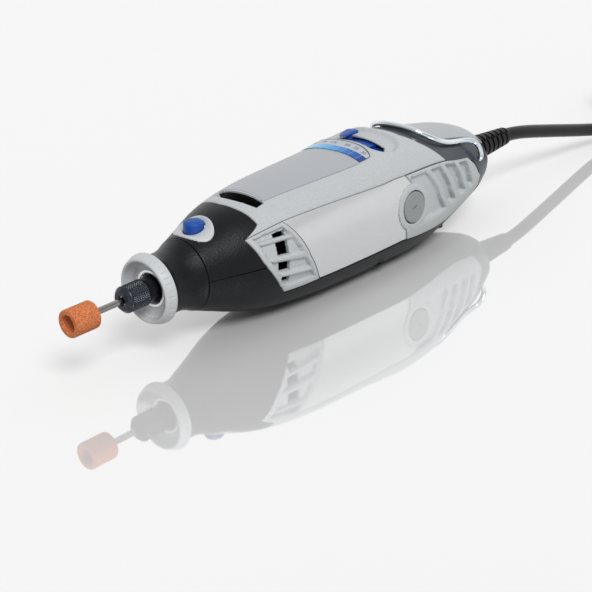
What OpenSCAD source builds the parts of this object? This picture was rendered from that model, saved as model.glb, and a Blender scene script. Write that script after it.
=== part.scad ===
// Rotary hobby tool: a motor in a moulded housing turns a collet that holds a grinding stone.
// X runs along the spindle with the nose towards -X, Z is up and Z = 0 is the bench.
// Stations along the spindle are measured from the front of the nose and grow to the rear.

/* [Housing] */
// Half width of the housing at its widest
half_w = 25.4; // [24.6:0.1:27]
// Height of the crown above the spindle, under the speed slider
crown_h = 26.1; // [25.6:0.1:27]
// Height of the top panel above the spindle
top_h = 23.7; // [23:0.1:24.4]
// Depth of the belly below the spindle, before it is flattened
belly_h = 25.2; // [24.6:0.1:26.5]
// How much the belly is flattened to rest on
belly_flat = 0.4; // [0.2:0.1:0.8]
// Radius of the housing where the nose cap meets it
seam_r = 13.5; // [13:0.1:14]
// Wall of the housing mouldings
wall_t = 2; // [1.6:0.1:2.3]
// Gap between neighbouring mouldings
joint_gap = 0.2; // [0.1:0.05:0.3]

/* [Nose cap] */
// Largest radius of the nose ring
ring_r = 13; // [12.5:0.1:13.5]
// Radius of the nose cap at its neck
neck_r = 11.2; // [10.8:0.1:11.8]
// Radius of the threaded spigot under the nose cap
spigot_r = 9; // [8.8:0.1:9.3]

/* [Spindle and motor] */
// Radius of the spindle inside the armature
shaft_r = 5; // [4.6:0.1:5.2]
// Radius of the spindle in the front bearing
front_seat_r = 4; // [3.8:0.1:4.4]
// Radius of the spindle in the rear bearing
rear_seat_r = 3.5; // [3:0.1:4]
// Radius of the armature
armature_r = 13.6; // [12.5:0.1:14]
// Radius of the field core
field_r = 19.4; // [18.8:0.1:19.6]
// Radius of the fan
fan_r = 16.8; // [15.5:0.1:17]
// Number of fan blades
fan_blades = 9; // [7:1:11]
// Radius of the commutator
commutator_r = 8.5; // [7.5:0.1:9]
// Radial clearance of a running fit
run_fit = 0.06; // [0.04:0.01:0.09]

/* [Collet and stone] */
// Radius of the collet nut
nut_r = 4.9; // [4.7:0.1:5]
// Radius of the stone's shank
shank_r = 1.2; // [1.1:0.05:1.3]
// Radius of the grinding stone
stone_r = 4.95; // [4:0.1:7]
// Length of the grinding stone
stone_l = 10.6; // [8:0.2:12]
// Free length of shank between the nut and the stone
free_shank_l = 13; // [8:0.5:20]

/* [Controls] */
// Radius of the spindle lock button
button_r = 4.2; // [3.8:0.1:4.4]
// Travel of the spindle lock button
button_travel = 2.8; // [2.6:0.1:3]
// Radius of the lock pin
pin_r = 1.4; // [1.2:0.1:1.5]
// Width of the slot that the speed slider runs in
slider_slot_w = 4.6; // [4:0.1:5]
// Radius of a brush cap
cap_r = 6.3; // [5.8:0.1:6.5]
// Radius of the wire of the hanging bail
bail_r = 1.1; // [0.9:0.05:1.2]

/* [Cord] */
// Diameter of the cord
cord_d = 6; // [5.6:0.2:6]
// Length of the strain relief behind the housing
relief_l = 24; // [22:0.5:26]
// Length of the plug's pins
plug_pin_l = 19; // [17:0.5:20]

/* [Hidden] */

$fn = 48;

// Stations along the spindle
rim_x = 3;
band_x = 6;
cap_front_x = 7.4;
hole_x = 7;
seam_x = 22;
tail_x = 193;
nut_front_x = -7;
stone_front_x = nut_front_x - free_shank_l - stone_l;
relief_end_x = tail_x + relief_l;
mid_x = (stone_front_x + relief_end_x) / 2;
axis_h = belly_h - belly_flat;

// How far a half size has grown from the nose seam to its full value
function grown(full, share) = seam_r + share * (full - seam_r);

// Sections of the housing: station, half width, top, bottom, squareness
tail_r = 7;
tail_top = 6;
function fallen(full, last, share) = full - share * (full - last);
SECTIONS = [
  [seam_x, seam_r, seam_r, seam_r, 2],
  [30, grown(half_w, 0.26), grown(top_h, 0.28), grown(belly_h, 0.26), 2],
  [40, grown(half_w, 0.56), grown(top_h, 0.61), grown(belly_h, 0.56), 2.1],
  [52, grown(half_w, 0.77), grown(top_h, 0.81), grown(belly_h, 0.79), 2.25],
  [68, grown(half_w, 0.9), grown(top_h, 0.93), grown(belly_h, 0.92), 2.4],
  [90, grown(half_w, 0.97), top_h, grown(belly_h, 0.99), 2.5],
  [106, half_w, top_h + 0.35 * (crown_h - top_h), belly_h, 2.5],
  [114, half_w, top_h + 0.92 * (crown_h - top_h), belly_h, 2.5],
  [126, half_w, crown_h, belly_h, 2.5],
  [140, fallen(half_w, tail_r, 0.07), fallen(crown_h, tail_top, 0.08), fallen(belly_h, tail_r, 0.05), 2.5],
  [156, fallen(half_w, tail_r, 0.22), fallen(crown_h, tail_top, 0.28), fallen(belly_h, tail_r, 0.21), 2.4],
  [171, fallen(half_w, tail_r, 0.39), fallen(crown_h, tail_top, 0.43), fallen(belly_h, tail_r, 0.4), 2.3],
  [181, fallen(half_w, tail_r, 0.53), fallen(crown_h, tail_top, 0.61), fallen(belly_h, tail_r, 0.56), 2.2],
  [188, fallen(half_w, tail_r, 0.7), fallen(crown_h, tail_top, 0.85), fallen(belly_h, tail_r, 0.73), 2],
  [tail_x, tail_r, tail_top, tail_r, 2]
];
last_section = len(SECTIONS) - 1;

// Slope of a column at a section, from its neighbours
function slope_at(i, col) = let(
    a = max(i - 1, 0),
    b = min(i + 1, last_section)
  ) (SECTIONS[b][col] - SECTIONS[a][col]) / (SECTIONS[b][0] - SECTIONS[a][0]);

// Section in front of a station
function section_before(x) = max([for (k = [0:last_section - 1]) if (k == 0 || x >= SECTIONS[k][0]) k]);

// A column at any station, by a cubic through the sections
function size_at(x_any, col) = let(
    x = min(max(x_any, seam_x), tail_x),
    i = section_before(x),
    span = SECTIONS[i + 1][0] - SECTIONS[i][0],
    t = (x - SECTIONS[i][0]) / span
  ) SECTIONS[i][col] * (2 * t^3 - 3 * t^2 + 1) + SECTIONS[i + 1][col] * (3 * t^2 - 2 * t^3)
    + span * slope_at(i, col) * (t^3 - 2 * t^2 + t) + span * slope_at(i + 1, col) * (t^3 - t^2);

// A point of the housing's skin; a is 0 at the top, 90 at the left side and 180 at the belly
function skin(x, a, inset) = let(
    w = size_at(x, 1) - inset,
    h = size_at(x, cos(a) >= 0 ? 2 : 3) - inset,
    p = 2 / size_at(x, 4)
  ) [
    x,
    -w * sign(sin(a)) * pow(abs(sin(a)), p),
    max(h * sign(cos(a)) * pow(abs(cos(a)), p), inset - axis_h)
  ];

function mix(a, b, t) = a + (b - a) * t;
function value(f, t) = is_function(f) ? f(t) : f;
function depth(f, x, a) = is_function(f) ? f(x, a) : f;

// Point of a patch at u along the spindle and v round it
function patch_point(front, rear, low, high, inset, u, v) = let(
    x = mix(value(front, v), value(rear, v), u),
    a = mix(value(low, x), value(high, x), v)
  ) skin(x, a, depth(inset, x, a));

// Values filled in between those of a rising list, so that none is more than a step apart
function filled(list, step) = concat(
  [for (i = [0:len(list) - 2]) let(n = ceil((list[i + 1] - list[i]) / step))
    for (k = [0:n - 1]) mix(list[i], list[i + 1], k / n)],
  [list[len(list) - 1]]
);
// The same list as shares of its own span
function shares(list) = [for (x = list) (x - list[0]) / (list[len(list) - 1] - list[0])];
// A list on both sides of zero
function both_sides(list) = concat([for (i = [len(list) - 1:-1:1]) -list[i]], list);
function even_shares(n) = is_list(n) ? n : [for (i = [0:n]) i / n];

// A curved plate on the housing's skin. front and rear give x for v, low and high give the angle for x,
// and along and round are numbers of steps or lists of shares.
module patch(front, rear, low, high, outer, inner, along, round) {
  us = even_shares(along);
  vs = even_shares(round);
  nu = len(us) - 1;
  nv = len(vs) - 1;
  row = nv + 1;
  count = (nu + 1) * row;
  top = [for (u = us, v = vs) patch_point(front, rear, low, high, outer, u, v)];
  under = [for (u = us, v = vs) patch_point(front, rear, low, high, inner, u, v)];
  sheet = [for (i = [0:nu - 1], j = [0:nv - 1]) let(a = i * row + j, b = a + row)
    each [[a, b + 1, a + 1], [a, b, b + 1]]];
  back = [for (f = sheet) [f[0] + count, f[2] + count, f[1] + count]];
  ends = [for (j = [0:nv - 1], s = [0, nu * row]) let(a = s + j, b = s + j + 1)
    each s == 0 ? [[a, b, b + count], [a, b + count, a + count]] : [[a, b + count, b], [a, a + count, b + count]]];
  sides = [for (i = [0:nu - 1], s = [0, nv]) let(a = i * row + s, b = a + row)
    each s == 0 ? [[a, b + count, b], [a, a + count, b + count]] : [[a, b, b + count], [a, b + count, a + count]]];
  polyhedron(concat(top, under), concat(sheet, back, ends, sides), convexity = 6);
}

// A solid slice of the housing, inset from its skin
module slice(front, rear, inset, steps) {
  sides = 40;
  points = [for (i = [0:steps], j = [0:sides - 1])
    skin(mix(front, rear, i / steps), 360 * j / sides, inset)];
  skin_faces = [for (i = [0:steps - 1], j = [0:sides - 1]) let(
      a = i * sides + j,
      b = i * sides + (j + 1) % sides
    ) each [[a, b, b + sides], [a, b + sides, a + sides]]];
  first = [for (j = [sides - 1:-1:0]) j];
  last = [for (j = [0:sides - 1]) steps * sides + j];
  polyhedron(concat(points), concat(skin_faces, [first], [last]), convexity = 4);
}

// A solid turned about the spindle from [station, radius] points
module turned(profile) {
  rotate([0, 90, 0])
    rotate_extrude()
      polygon([for (p = profile) [p[1], p[0]]]);
}

// A round bar along the spindle
module bar(front, rear, r) {
  translate([front, 0, 0])
    rotate([0, 90, 0])
      cylinder(h = rear - front, r = r);
}

// A tube along the spindle
module tube(front, rear, r, bore_r) {
  difference() {
    bar(front, rear, r);
    bar(front - 1, rear + 1, bore_r);
  }
}

// A round bar along Y from y0 to y1 at a station
module cross_bar(x, z, y0, y1, r) {
  translate([x, max(y0, y1), z])
    rotate([90, 0, 0])
      cylinder(h = abs(y1 - y0), r = r);
}

// Puts the tool on the bench with its middle over the origin
module placed() {
  translate([-mid_x, 0, axis_h])
    children();
}

// The same piece on the right-hand side
module other_side() {
  mirror([0, 1, 0])
    children();
}

// ---- Lines on the housing where mouldings meet ----

// Front edge of the grey mouldings at an angle
function front_edge(a) = lookup(abs(a), [
  [0, 42.8], [17, 43.6], [31, 44.7], [46, 45.4], [50, 43], [55.2, 38.1], [85, 42.3], [121, 52], [124, 52.6]
]);
// Angle of the upper housing's lower edge at a station
function shoulder(x) = lookup(x, [[38, 55.2], [55, 54.3], [77, 57.5], [118, 64.5], [148, 65.3]]);
// Angle of the lower housing's upper edge at a station
function sill(x) = lookup(x, [
  [52, 121.3], [68, 117.3], [90, 115.3], [116, 114.8], [135, 119.6], [155, 126.5], [172, 126.4]
]);
// Rear edge of the upper housing at an angle
function rear_edge(a) = lookup(abs(a), [[0, 130.2], [21, 131.8], [39, 137], [52, 142.6], [66, 148.5]]);
// Rear edge of the front grille, by share of its height
function grille_rear(v) = lookup(v, [[0, 54.4], [0.2, 57.6], [0.48, 61.6], [0.68, 64.9], [1, 68.8]]);
// Front edge of the rear intake, by share of its height
function intake_front(v) = lookup(v, [[0, 119.3], [0.2, 122.2], [0.5, 120], [0.8, 117], [1, 118.4]]);
// Rear edge of the rear intake, by share of its height
function intake_rear(v) = lookup(v, [[0, 164.8], [0.17, 170.5], [0.45, 175.6], [0.7, 174.6], [1, 171.8]]);
// Angle of the rear intake's upper edge at a station
function intake_top(x) = lookup(x, [[118, 64.8], [124, 65], [148, 65.8], [165, 71], [176, 78]]);
// Front edge of the end cap at an angle
function cap_front(a) = lookup(abs(a), [
  [0, 130.4], [21, 132], [39, 137.2], [52, 142.8], [65, 148.4], [66.5, 151], [71, 165], [79, 170.4],
  [99.5, 176], [111.7, 175], [125.8, 172.2]
]);
// Angle of the lower housing's edge at a station
function lower_edge(x) = x < 52.2 ? lookup(x, [[43.3, 90.4], [51.7, 121], [52.2, 121.8]]) : sill(x) + gap_a;

gap_a = 0.5;
button_x = 29.3;
fan_front_x = 45.5;
fan_rear_x = 54;
brush_x = 121.5;
// Distance of a brush cap's inner face from the middle plane
cap_seat_y = half_w - 2.5;
// Outer end of a carbon brush, where its spring starts
brush_end_y = cap_seat_y - 5.9;
slider_x = 117.6;
slider_rest_a = 4.7;
bail_x = 174.4;
bail_z = 3.5;

// ---- Nose cap, which unscrews from the spigot ----

module nose_cap() {
  color([0.12, 0.13, 0.15])
    placed()
      turned([
        [cap_front_x, spigot_r + 1.4], [cap_front_x, ring_r - 0.3], [cap_front_x + 0.6, ring_r - 0.8],
        [9.2, neck_r + 0.5], [11, neck_r + 0.05], [13.5, neck_r], [16, neck_r + 0.2], [18.2, neck_r + 0.8],
        [20.2, seam_r - 0.8], [seam_x - joint_gap - 0.4, seam_r - 0.05], [seam_x - joint_gap - 0.1, seam_r - 0.3],
        [seam_x - joint_gap - 0.1, spigot_r + run_fit], [10.4, spigot_r + run_fit], [10.4, nut_r + 1.6],
        [9.2, nut_r + 1.6], [9.2, spigot_r + 1.4]
      ]);
}

module nose_ring() {
  color([0.74, 0.75, 0.76])
    placed()
      turned([
        [rim_x, ring_r - 2.1], [rim_x, ring_r - 1.5], [rim_x + 0.4, ring_r - 1.1], [band_x, ring_r],
        [cap_front_x - 0.3, ring_r], [cap_front_x, ring_r - 0.3], [cap_front_x, spigot_r + 1.3],
        [9.2, spigot_r + 1.3], [9.2, nut_r + 1.6], [hole_x, nut_r + 1.6], [hole_x - 0.6, spigot_r - 0.2],
        [rim_x + 2, ring_r - 3]
      ]);
}

module wrench_insert() {
  color([0.86, 0.87, 0.88])
    placed()
      turned([
        [hole_x - 0.2, nut_r + 1.2], [hole_x - 0.2, nut_r + 1.55], [10.3, nut_r + 1.55],
        [10.3, nut_r + 0.4], [hole_x + 0.6, nut_r + 0.4]
      ]);
}

// ---- Front bearing and spindle lock ----

module bearing_sleeve() {
  color([0.35, 0.36, 0.38])
    placed()
      turned([
        [11, 7], [11, spigot_r], [seam_x + joint_gap, spigot_r], [seam_x + joint_gap, seam_r - wall_t - 0.3],
        [24.2, seam_r - wall_t - 0.3], [24.2, shaft_r + 1], [17.6, shaft_r + 1], [17.6, 8.02], [12, 8.02], [12, 7]
      ]);
}

module front_bearing() {
  color([0.8, 0.8, 0.82])
    placed()
      turned([[12.2, 6], [12.2, 8], [17.4, 8], [17.4, 6]]);
}

module front_bearing_inner() {
  color([0.7, 0.7, 0.73])
    placed()
      tube(12.2, 17.4, 5.9, front_seat_r + 0.02);
}

module nose_upper() {
  edge = both_sides([0, 17, 31, 46, 50, 55.2, 70, 85, 89.6]);
  color([0.12, 0.13, 0.15])
    placed()
      difference() {
        patch(
          seam_x, function(v) front_edge(mix(-89.6, 89.6, v)) - joint_gap - 0.1,
          -89.6, 89.6, 0, wall_t, 6, shares(filled(edge, 8))
        );
        translate([28.2, 0, 5])
          linear_extrude(20)
            bezel_outline(joint_gap + 0.15);
      }
}

// Room for the flange of the lock button
module button_pocket() {
  translate([button_x, 0, 9.4])
    cylinder(h = 4, r = button_r + 0.85);
}

// Oval outline of the bezel, seen from above
module bezel_outline(extra) {
  polygon([for (i = [0:31]) [(6 + extra) * cos(11.25 * i), (8.3 + extra) * sin(11.25 * i)]]);
}

module button_bezel() {
  color([0.74, 0.75, 0.76])
    placed()
      difference() {
        intersection() {
          patch(seam_x, 36, -60, 60, -0.35, wall_t, 8, 16);
          translate([28.2, 0, 5])
            linear_extrude(20)
              bezel_outline(0);
        }
        translate([button_x, 0, 5])
          cylinder(h = 20, r = button_r + 0.3);
        button_pocket();
      }
}

module lock_button() {
  color([0.1, 0.22, 0.62])
    placed()
      translate([button_x, 0, 0])
        difference() {
          union() {
            translate([0, 0, 12.3])
              cylinder(h = 6.3, r = button_r);
            translate([0, 0, 12.3])
              cylinder(h = 0.8, r = button_r + 0.55);
          }
          translate([-button_r - 6.5, 0, 34.4])
            rotate([90, 0, 0])
              cylinder(h = 30, r = 18, center = true, $fn = 96);
          translate([0, 0, 10])
            cylinder(h = 4.6, r = 2.9);
        }
}

module lock_pin() {
  color([0.8, 0.8, 0.82])
    placed()
      translate([button_x, 0, 8.6])
        cylinder(h = 6, r = pin_r);
}

// Coil spring standing on a plane, wound by a loop
module coil_spring(r, wire_r, height, turns) {
  per_turn = 10;
  sides = 5;
  steps = turns * per_turn;
  points = [for (i = [0:steps], k = [0:sides - 1]) let(
      a = 360 * i / per_turn,
      b = 360 * k / sides,
      d = r + wire_r * cos(b)
    ) [d * cos(a), d * sin(a), wire_r + (height - 2 * wire_r) * i / steps + wire_r * sin(b)]];
  faces = [for (i = [0:steps - 1], k = [0:sides - 1]) let(
      a = i * sides + k,
      b = i * sides + (k + 1) % sides
    ) each [[a, a + sides, b + sides], [a, b + sides, b]]];
  first = [for (k = [0:sides - 1]) k];
  last = [for (k = [sides - 1:-1:0]) steps * sides + k];
  polyhedron(points, concat(faces, [first], [last]), convexity = 6);
}

module lock_spring() {
  color([0.8, 0.8, 0.82])
    placed()
      translate([button_x, 0, 9.35])
        coil_spring(2.2, 0.25, 5.1, 4);
}

// Plate across the nose that guides the pin and carries the spring
module lock_guide() {
  color([0.35, 0.36, 0.38])
    placed()
      difference() {
        translate([0, 0, 8.3])
          linear_extrude(1)
            polygon([[24.4, -7.2], [34, -11], [34, 11], [24.4, 7.2]]);
        translate([button_x, 0, 5])
          cylinder(h = 8, r = pin_r + run_fit);
      }
}

// Steel collar on the spindle, with four holes for the pin
module lock_collar() {
  color([0.7, 0.7, 0.73])
    placed()
      difference() {
        tube(button_x - 3, button_x + 3, 8, shaft_r + 0.02);
        for (a = [0, 90, 180, 270])
          rotate([a, 0, 0])
            translate([button_x, 0, shaft_r + 0.5])
              cylinder(h = 6, r = pin_r + 0.25);
      }
}

// ---- Spindle, collet and stone ----

module spindle() {
  color([0.7, 0.7, 0.73])
    placed()
      turned([
        [nut_front_x + 6.5, 2.66], [nut_front_x + 6.5, 3.4], [10.5, 3.4], [10.5, front_seat_r],
        [17.6, front_seat_r], [17.6, shaft_r], [132, shaft_r], [132, rear_seat_r], [145, rear_seat_r],
        [145, 0], [20, 0], [18.5, 2.66]
      ]);
}

module collet() {
  color([0.62, 0.62, 0.65])
    placed()
      difference() {
        turned([
          [nut_front_x + 0.7, shank_r + run_fit], [nut_front_x + 0.7, 2.2], [nut_front_x + 3, 3.2],
          [nut_front_x + 5.5, 3.2], [nut_front_x + 6.2, 2.6], [15, 2.6], [15, shank_r + run_fit]
        ]);
        for (a = [0, 60, 120])
          rotate([a, 0, 0])
            translate([nut_front_x, -0.2, -5])
              cube([15, 0.4, 10]);
      }
}

module collet_nut() {
  color([0.2, 0.21, 0.23])
    placed()
      difference() {
        turned([
          [nut_front_x, shank_r + 0.6], [nut_front_x, nut_r - 1.3], [nut_front_x + 1.3, nut_r],
          [2.6, nut_r], [3.2, nut_r - 0.5], [8.4, nut_r - 0.5], [8.4, 3.4 + run_fit],
          [nut_front_x + 5.8, 3.4 + run_fit], [nut_front_x + 3.2, 3.4], [nut_front_x + 0.9, 2.5]
        ]);
        for (i = [0:23])
          rotate([15 * i, 0, 0])
            translate([nut_front_x + 1.6, nut_r + 0.2, 0])
              rotate([45, 0, 0])
                cube([7, 0.6, 0.6]);
      }
}

module stone_shank() {
  color([0.75, 0.75, 0.77])
    placed()
      bar(stone_front_x + 3.6, 9, shank_r);
}

module grinding_stone() {
  color([0.78, 0.37, 0.2])
    placed()
      turned([
        [stone_front_x, 3.3], [stone_front_x, stone_r - 0.3], [stone_front_x + 0.3, stone_r],
        [stone_front_x + stone_l - 0.3, stone_r], [stone_front_x + stone_l, stone_r - 0.3],
        [stone_front_x + stone_l, shank_r + 0.01], [stone_front_x + 3.5, shank_r + 0.01], [stone_front_x + 3.5, 3]
      ]);
}

// ---- Motor ----

module cooling_fan() {
  color([0.2, 0.2, 0.22])
    placed()
      difference() {
        union() {
          bar(fan_rear_x - 1.4, fan_rear_x, fan_r);
          bar(fan_front_x, fan_rear_x - 1, shaft_r + 2.2);
          for (i = [0:fan_blades - 1])
            rotate([360 * i / fan_blades, 0, 0])
              translate([fan_front_x + 0.4, -0.6, shaft_r + 1])
                cube([fan_rear_x - fan_front_x - 1, 1.2, fan_r - shaft_r - 1.6]);
        }
        bar(fan_front_x - 1, fan_rear_x + 1, shaft_r + 0.02);
      }
}

module fan_baffle() {
  color([0.14, 0.14, 0.15])
    placed()
      difference() {
        slice(56, 66, wall_t + 0.6, 2);
        bar(55, 58, 11);
        bar(57.8, 64.2, field_r - 1.6);
        bar(64, 67, field_r + 0.1);
      }
}

module armature_core() {
  color([0.6, 0.6, 0.62])
    placed()
      difference() {
        bar(66, 96, armature_r);
        bar(65, 97, shaft_r + 0.02);
        for (i = [0:11])
          rotate([30 * i, 0, 0])
            translate([65, -1, armature_r - 4.5])
              cube([32, 2, 6]);
      }
}

module armature_winding() {
  color([0.6, 0.28, 0.12])
    placed() {
      turned([[61, 6], [61, 10], [62.5, 12.2], [65.9, 12.2], [65.9, 6]]);
      turned([[96.1, 6], [96.1, 12.2], [99.5, 12.2], [103, 9], [103, 6]]);
      for (i = [0:11])
        rotate([30 * i, 0, 0])
          translate([65, -0.8, armature_r - 4.3])
            cube([32, 1.6, 2.8]);
    }
}

module commutator() {
  color([0.72, 0.45, 0.25])
    placed()
      difference() {
        tube(115, 128, commutator_r, shaft_r + 0.02);
        for (i = [0:11])
          rotate([30 * i + 15, 0, 0])
            translate([114, -0.2, commutator_r - 0.8])
              cube([15, 0.4, 2]);
      }
}

// Half a coil space: a ring sector beside the armature
module coil_space(front, rear, grow) {
  intersection() {
    tube(front, rear, 17.2 + grow, 14.6 - grow);
    for (s = [-1, 1])
      translate([front - 1, s > 0 ? 6 : -26, -12 - grow])
        cube([rear - front + 2, 20, 24 + 2 * grow]);
  }
}

module field_core() {
  color([0.55, 0.55, 0.58])
    placed()
      difference() {
        tube(64.2, 98.8, field_r, armature_r + 0.5);
        coil_space(64, 99, 0.15);
      }
}

module field_coils() {
  color([0.55, 0.25, 0.12])
    placed() {
      coil_space(60, 103.4, 0);
      tube(59.8, 64, 17.2, 14.6);
      tube(99, 103.6, 17.2, 14.6);
    }
}

module field_seat() {
  color([0.14, 0.14, 0.15])
    placed()
      difference() {
        slice(97, 102, wall_t + 0.6, 1);
        bar(96, 99, field_r + 0.1);
        bar(98.8, 103, field_r - 1.6);
      }
}

module rear_bearing_plate() {
  color([0.14, 0.14, 0.15])
    placed()
      difference() {
        slice(135.5, 143.5, wall_t + 1.4, 2);
        bar(135, 142.2, 11.6);
        bar(142, 144, 8);
        for (a = [45:90:315])
          rotate([a, 0, 0])
            translate([134, 0, 16.6])
              rotate([0, 90, 0])
                cylinder(h = 12, r = 3.2);
      }
}

module rear_bearing_mount() {
  color([0.08, 0.08, 0.09])
    placed()
      tube(135.8, 142, 11.5, 9.6);
}

module rear_bearing() {
  color([0.8, 0.8, 0.82])
    placed()
      tube(136, 141.8, 9.5, 6);
}

module rear_bearing_inner() {
  color([0.7, 0.7, 0.73])
    placed()
      tube(136, 141.8, 5.9, rear_seat_r + 0.02);
}

// ---- Brushes ----

module brush_holders() {
  color([0.8, 0.65, 0.3])
    placed()
      for (s = [-1, 1])
        difference() {
          cross_bar(brush_x, 0, s * 9.6, s * (cap_seat_y - 0.3), 5.4);
          cross_bar(brush_x, 0, s * (cap_seat_y - 2.9), s * (cap_seat_y + 1.1), 4);
          translate([brush_x - 2.6, s > 0 ? 8 : 1.9 - cap_seat_y, -2.6])
            cube([5.2, cap_seat_y - 9.9, 5.2]);
        }
}

module carbon_brushes() {
  color([0.15, 0.15, 0.15])
    placed()
      for (s = [-1, 1])
        translate([brush_x - 2.5, s > 0 ? commutator_r + 0.1 : -brush_end_y, -2.5])
          cube([5, brush_end_y - commutator_r - 0.1, 5]);
}

module brush_springs() {
  color([0.8, 0.8, 0.82])
    placed()
      for (s = [-1, 1])
        translate([brush_x, s * (brush_end_y + 0.1), 0])
          rotate([-90 * s, 0, 0])
            coil_spring(1.8, 0.25, 2.9, 3);
}

module left_brush_cap() {
  color([0.62, 0.64, 0.66])
    placed()
      difference() {
        union() {
          cross_bar(brush_x, 0, -cap_seat_y, -half_w - 0.3, cap_r);
          cross_bar(brush_x, 0, -cap_seat_y + 2.7, -cap_seat_y - 0.3, 3.9);
        }
        translate([brush_x, -half_w - 0.3, 0])
          rotate([0, 12, 0])
            cube([5.4, 1.4, 0.9], center = true);
      }
}

module right_brush_cap() {
  color([0.62, 0.64, 0.66])
    placed()
      difference() {
        union() {
          cross_bar(brush_x, 0, cap_seat_y, half_w + 0.3, cap_r);
          cross_bar(brush_x, 0, cap_seat_y - 2.7, cap_seat_y + 0.3, 3.9);
        }
        translate([brush_x, half_w + 0.3, 0])
          rotate([0, 12, 0])
            cube([5.4, 1.4, 0.9], center = true);
      }
}

// ---- Speed slider on the crown ----

slider_y = 16;
slider_drop = 3.7;
crown_r = (slider_y * slider_y + slider_drop * slider_drop) / (2 * slider_drop);
crown_z = crown_h - crown_r;
dish_r = crown_r - 0.9;
strip_r = dish_r - 1.6;
slot_half_y = 14.4;

// A curved bar about the crown's own axis, between two radii and two angles
module crown_arc(front, rear, outer_r, inner_r, half_a) {
  translate([front, 0, crown_z])
    rotate([0, 90, 0])
      rotate([0, 0, 180 - half_a])
        rotate_extrude(angle = 2 * half_a, $fn = 120)
          translate([inner_r, 0])
            square([outer_r - inner_r, rear - front]);
}

// A slot with round ends across the crown, seen from above
module slot_outline(width, half_y) {
  for (s = [-1, 1])
    translate([slider_x, s * (half_y - width / 2)])
      circle(d = width);
  translate([slider_x - width / 2, width / 2 - half_y])
    square([width, 2 * half_y - width]);
}

// Block outside a radius about the crown's axis, used to sink the dish
module crown_ring(outer_r, inner_r, front, rear) {
  translate([0, 0, crown_z])
    difference() {
      bar(front, rear, outer_r);
      bar(front - 1, rear + 1, inner_r);
    }
}

module speed_slider() {
  color([0.1, 0.22, 0.62])
    placed()
      translate([0, 0, crown_z])
        rotate([slider_rest_a * -1, 0, 0])
          translate([0, 0, -crown_z]) {
            crown_arc(slider_x - 3.6, slider_x + 4, strip_r, strip_r - 1, 14);
            translate([slider_x, 0, crown_z + strip_r - 0.5])
              cylinder(h = 2.6, r = 1.9);
            hull() {
              translate([slider_x + 0.6, -3, crown_h - 0.5])
                cube([2.2, 6, 2.9]);
              translate([slider_x - 2.4, -2.2, crown_h + 0.5])
                cube([0.5, 4.4, 0.8]);
              translate([slider_x - 5.2, -0.3, crown_h + 0.65])
                cube([0.2, 0.6, 0.3]);
            }
          }
}

module slider_track() {
  color([0.1, 0.22, 0.62])
    placed()
      crown_arc(slider_x - 4.2, slider_x + 4.4, strip_r - 1.3, strip_r - 2.6, 26.5);
}

module slider_switch() {
  color([0.1, 0.1, 0.11])
    placed()
      translate([slider_x - 5, -8, 10.5])
        cube([10, 16, crown_z + sqrt(pow(strip_r - 2.6, 2) - 64) - 10.7]);
}

module speed_scale() {
  color([0.75, 0.85, 0.93])
    placed()
      patch(102.6, function(v) 111.4 - 2.5 * pow(2 * v - 1, 4), -31, 31, -0.45, -0.12, 2, 18);
}

// ---- Main mouldings ----

module top_slot() {
  translate([0, 0, 8])
    linear_extrude(20)
      polygon(concat(
        [for (i = [-6:6]) [47 + 2.6 * pow(i / 6, 2), 1.95 * i]],
        [for (i = [6:-1:-6]) [53.4 + 0.3 * pow(i / 6, 2), 1.95 * i]]
      ));
}

module upper_housing() {
  edge = both_sides([0, 17, 31, 46, 50, 54.8]);
  color([0.68, 0.69, 0.7])
    placed()
      difference() {
        union() {
          patch(
            function(v) front_edge(mix(-54.8, 54.8, v)),
            function(v) rear_edge(mix(-65, 65, v)) - joint_gap,
            function(x) -shoulder(x), function(x) shoulder(x), 0, wall_t, 15, shares(filled(edge, 7))
          );
          side_skirt();
          other_side()
            side_skirt();
          for (s = [-1, 1])
            translate([108, s * 17.4, 0.3])
              cylinder(h = 15.9, r = 3, $fn = 24);
        }
        patch(53.9, 102.4, function(x) -panel_edge(x) - gap_a, function(x) panel_edge(x) + gap_a, -1, 1, 10, 10);
        top_slot();
        intersection() {
          crown_ring(crown_r + 4, dish_r, slider_x - 6, slider_x + 12);
          translate([0, 0, 10])
            linear_extrude(30)
              dish_outline();
        }
        translate([0, 0, 10])
          linear_extrude(30)
            slot_outline(slider_slot_w, slot_half_y);
        intersection() {
          translate([0, 0, crown_z])
            bar(slider_x - 5, slider_x + 5, strip_r + 0.3);
          translate([slider_x - 6, -20.3, 0])
            cube([12, 40.6, 40]);
        }
        for (s = [-1, 1])
          translate([108, s * 17.4, 0])
            cylinder(h = 7, r = 1.6);
        cross_bar(brush_x, 0, -30, 30, cap_r + 3.3);
      }
}

// Inner wall that carries a silver side plate
module side_skirt() {
  patch(
    function(v) grille_rear(v) + joint_gap, function(v) intake_front(v) - joint_gap - 0.2,
    function(x) shoulder(x) - 1, function(x) sill(x) - gap_a, 1.1, wall_t + 0.4, 10, 10
  );
}

// Outline of the sunk dish round the slider slot, seen from above
module dish_outline() {
  for (s = [-1, 1])
    translate([slider_x + 3.4, s * 10.6])
      circle(r = 6.9);
  translate([slider_x - 5.4, -10.6])
    square([15.7, 21.2]);
}

// Angle of the top panel's edge at a station
function panel_edge(x) = lookup(x, [[53, 25.4], [71, 27.6], [102, 31.2]]);

module top_panel() {
  color([0.7, 0.71, 0.73])
    placed()
      patch(54, 102.3, function(x) -panel_edge(x), function(x) panel_edge(x), 0, 0.9, 6, 10);
}

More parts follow.
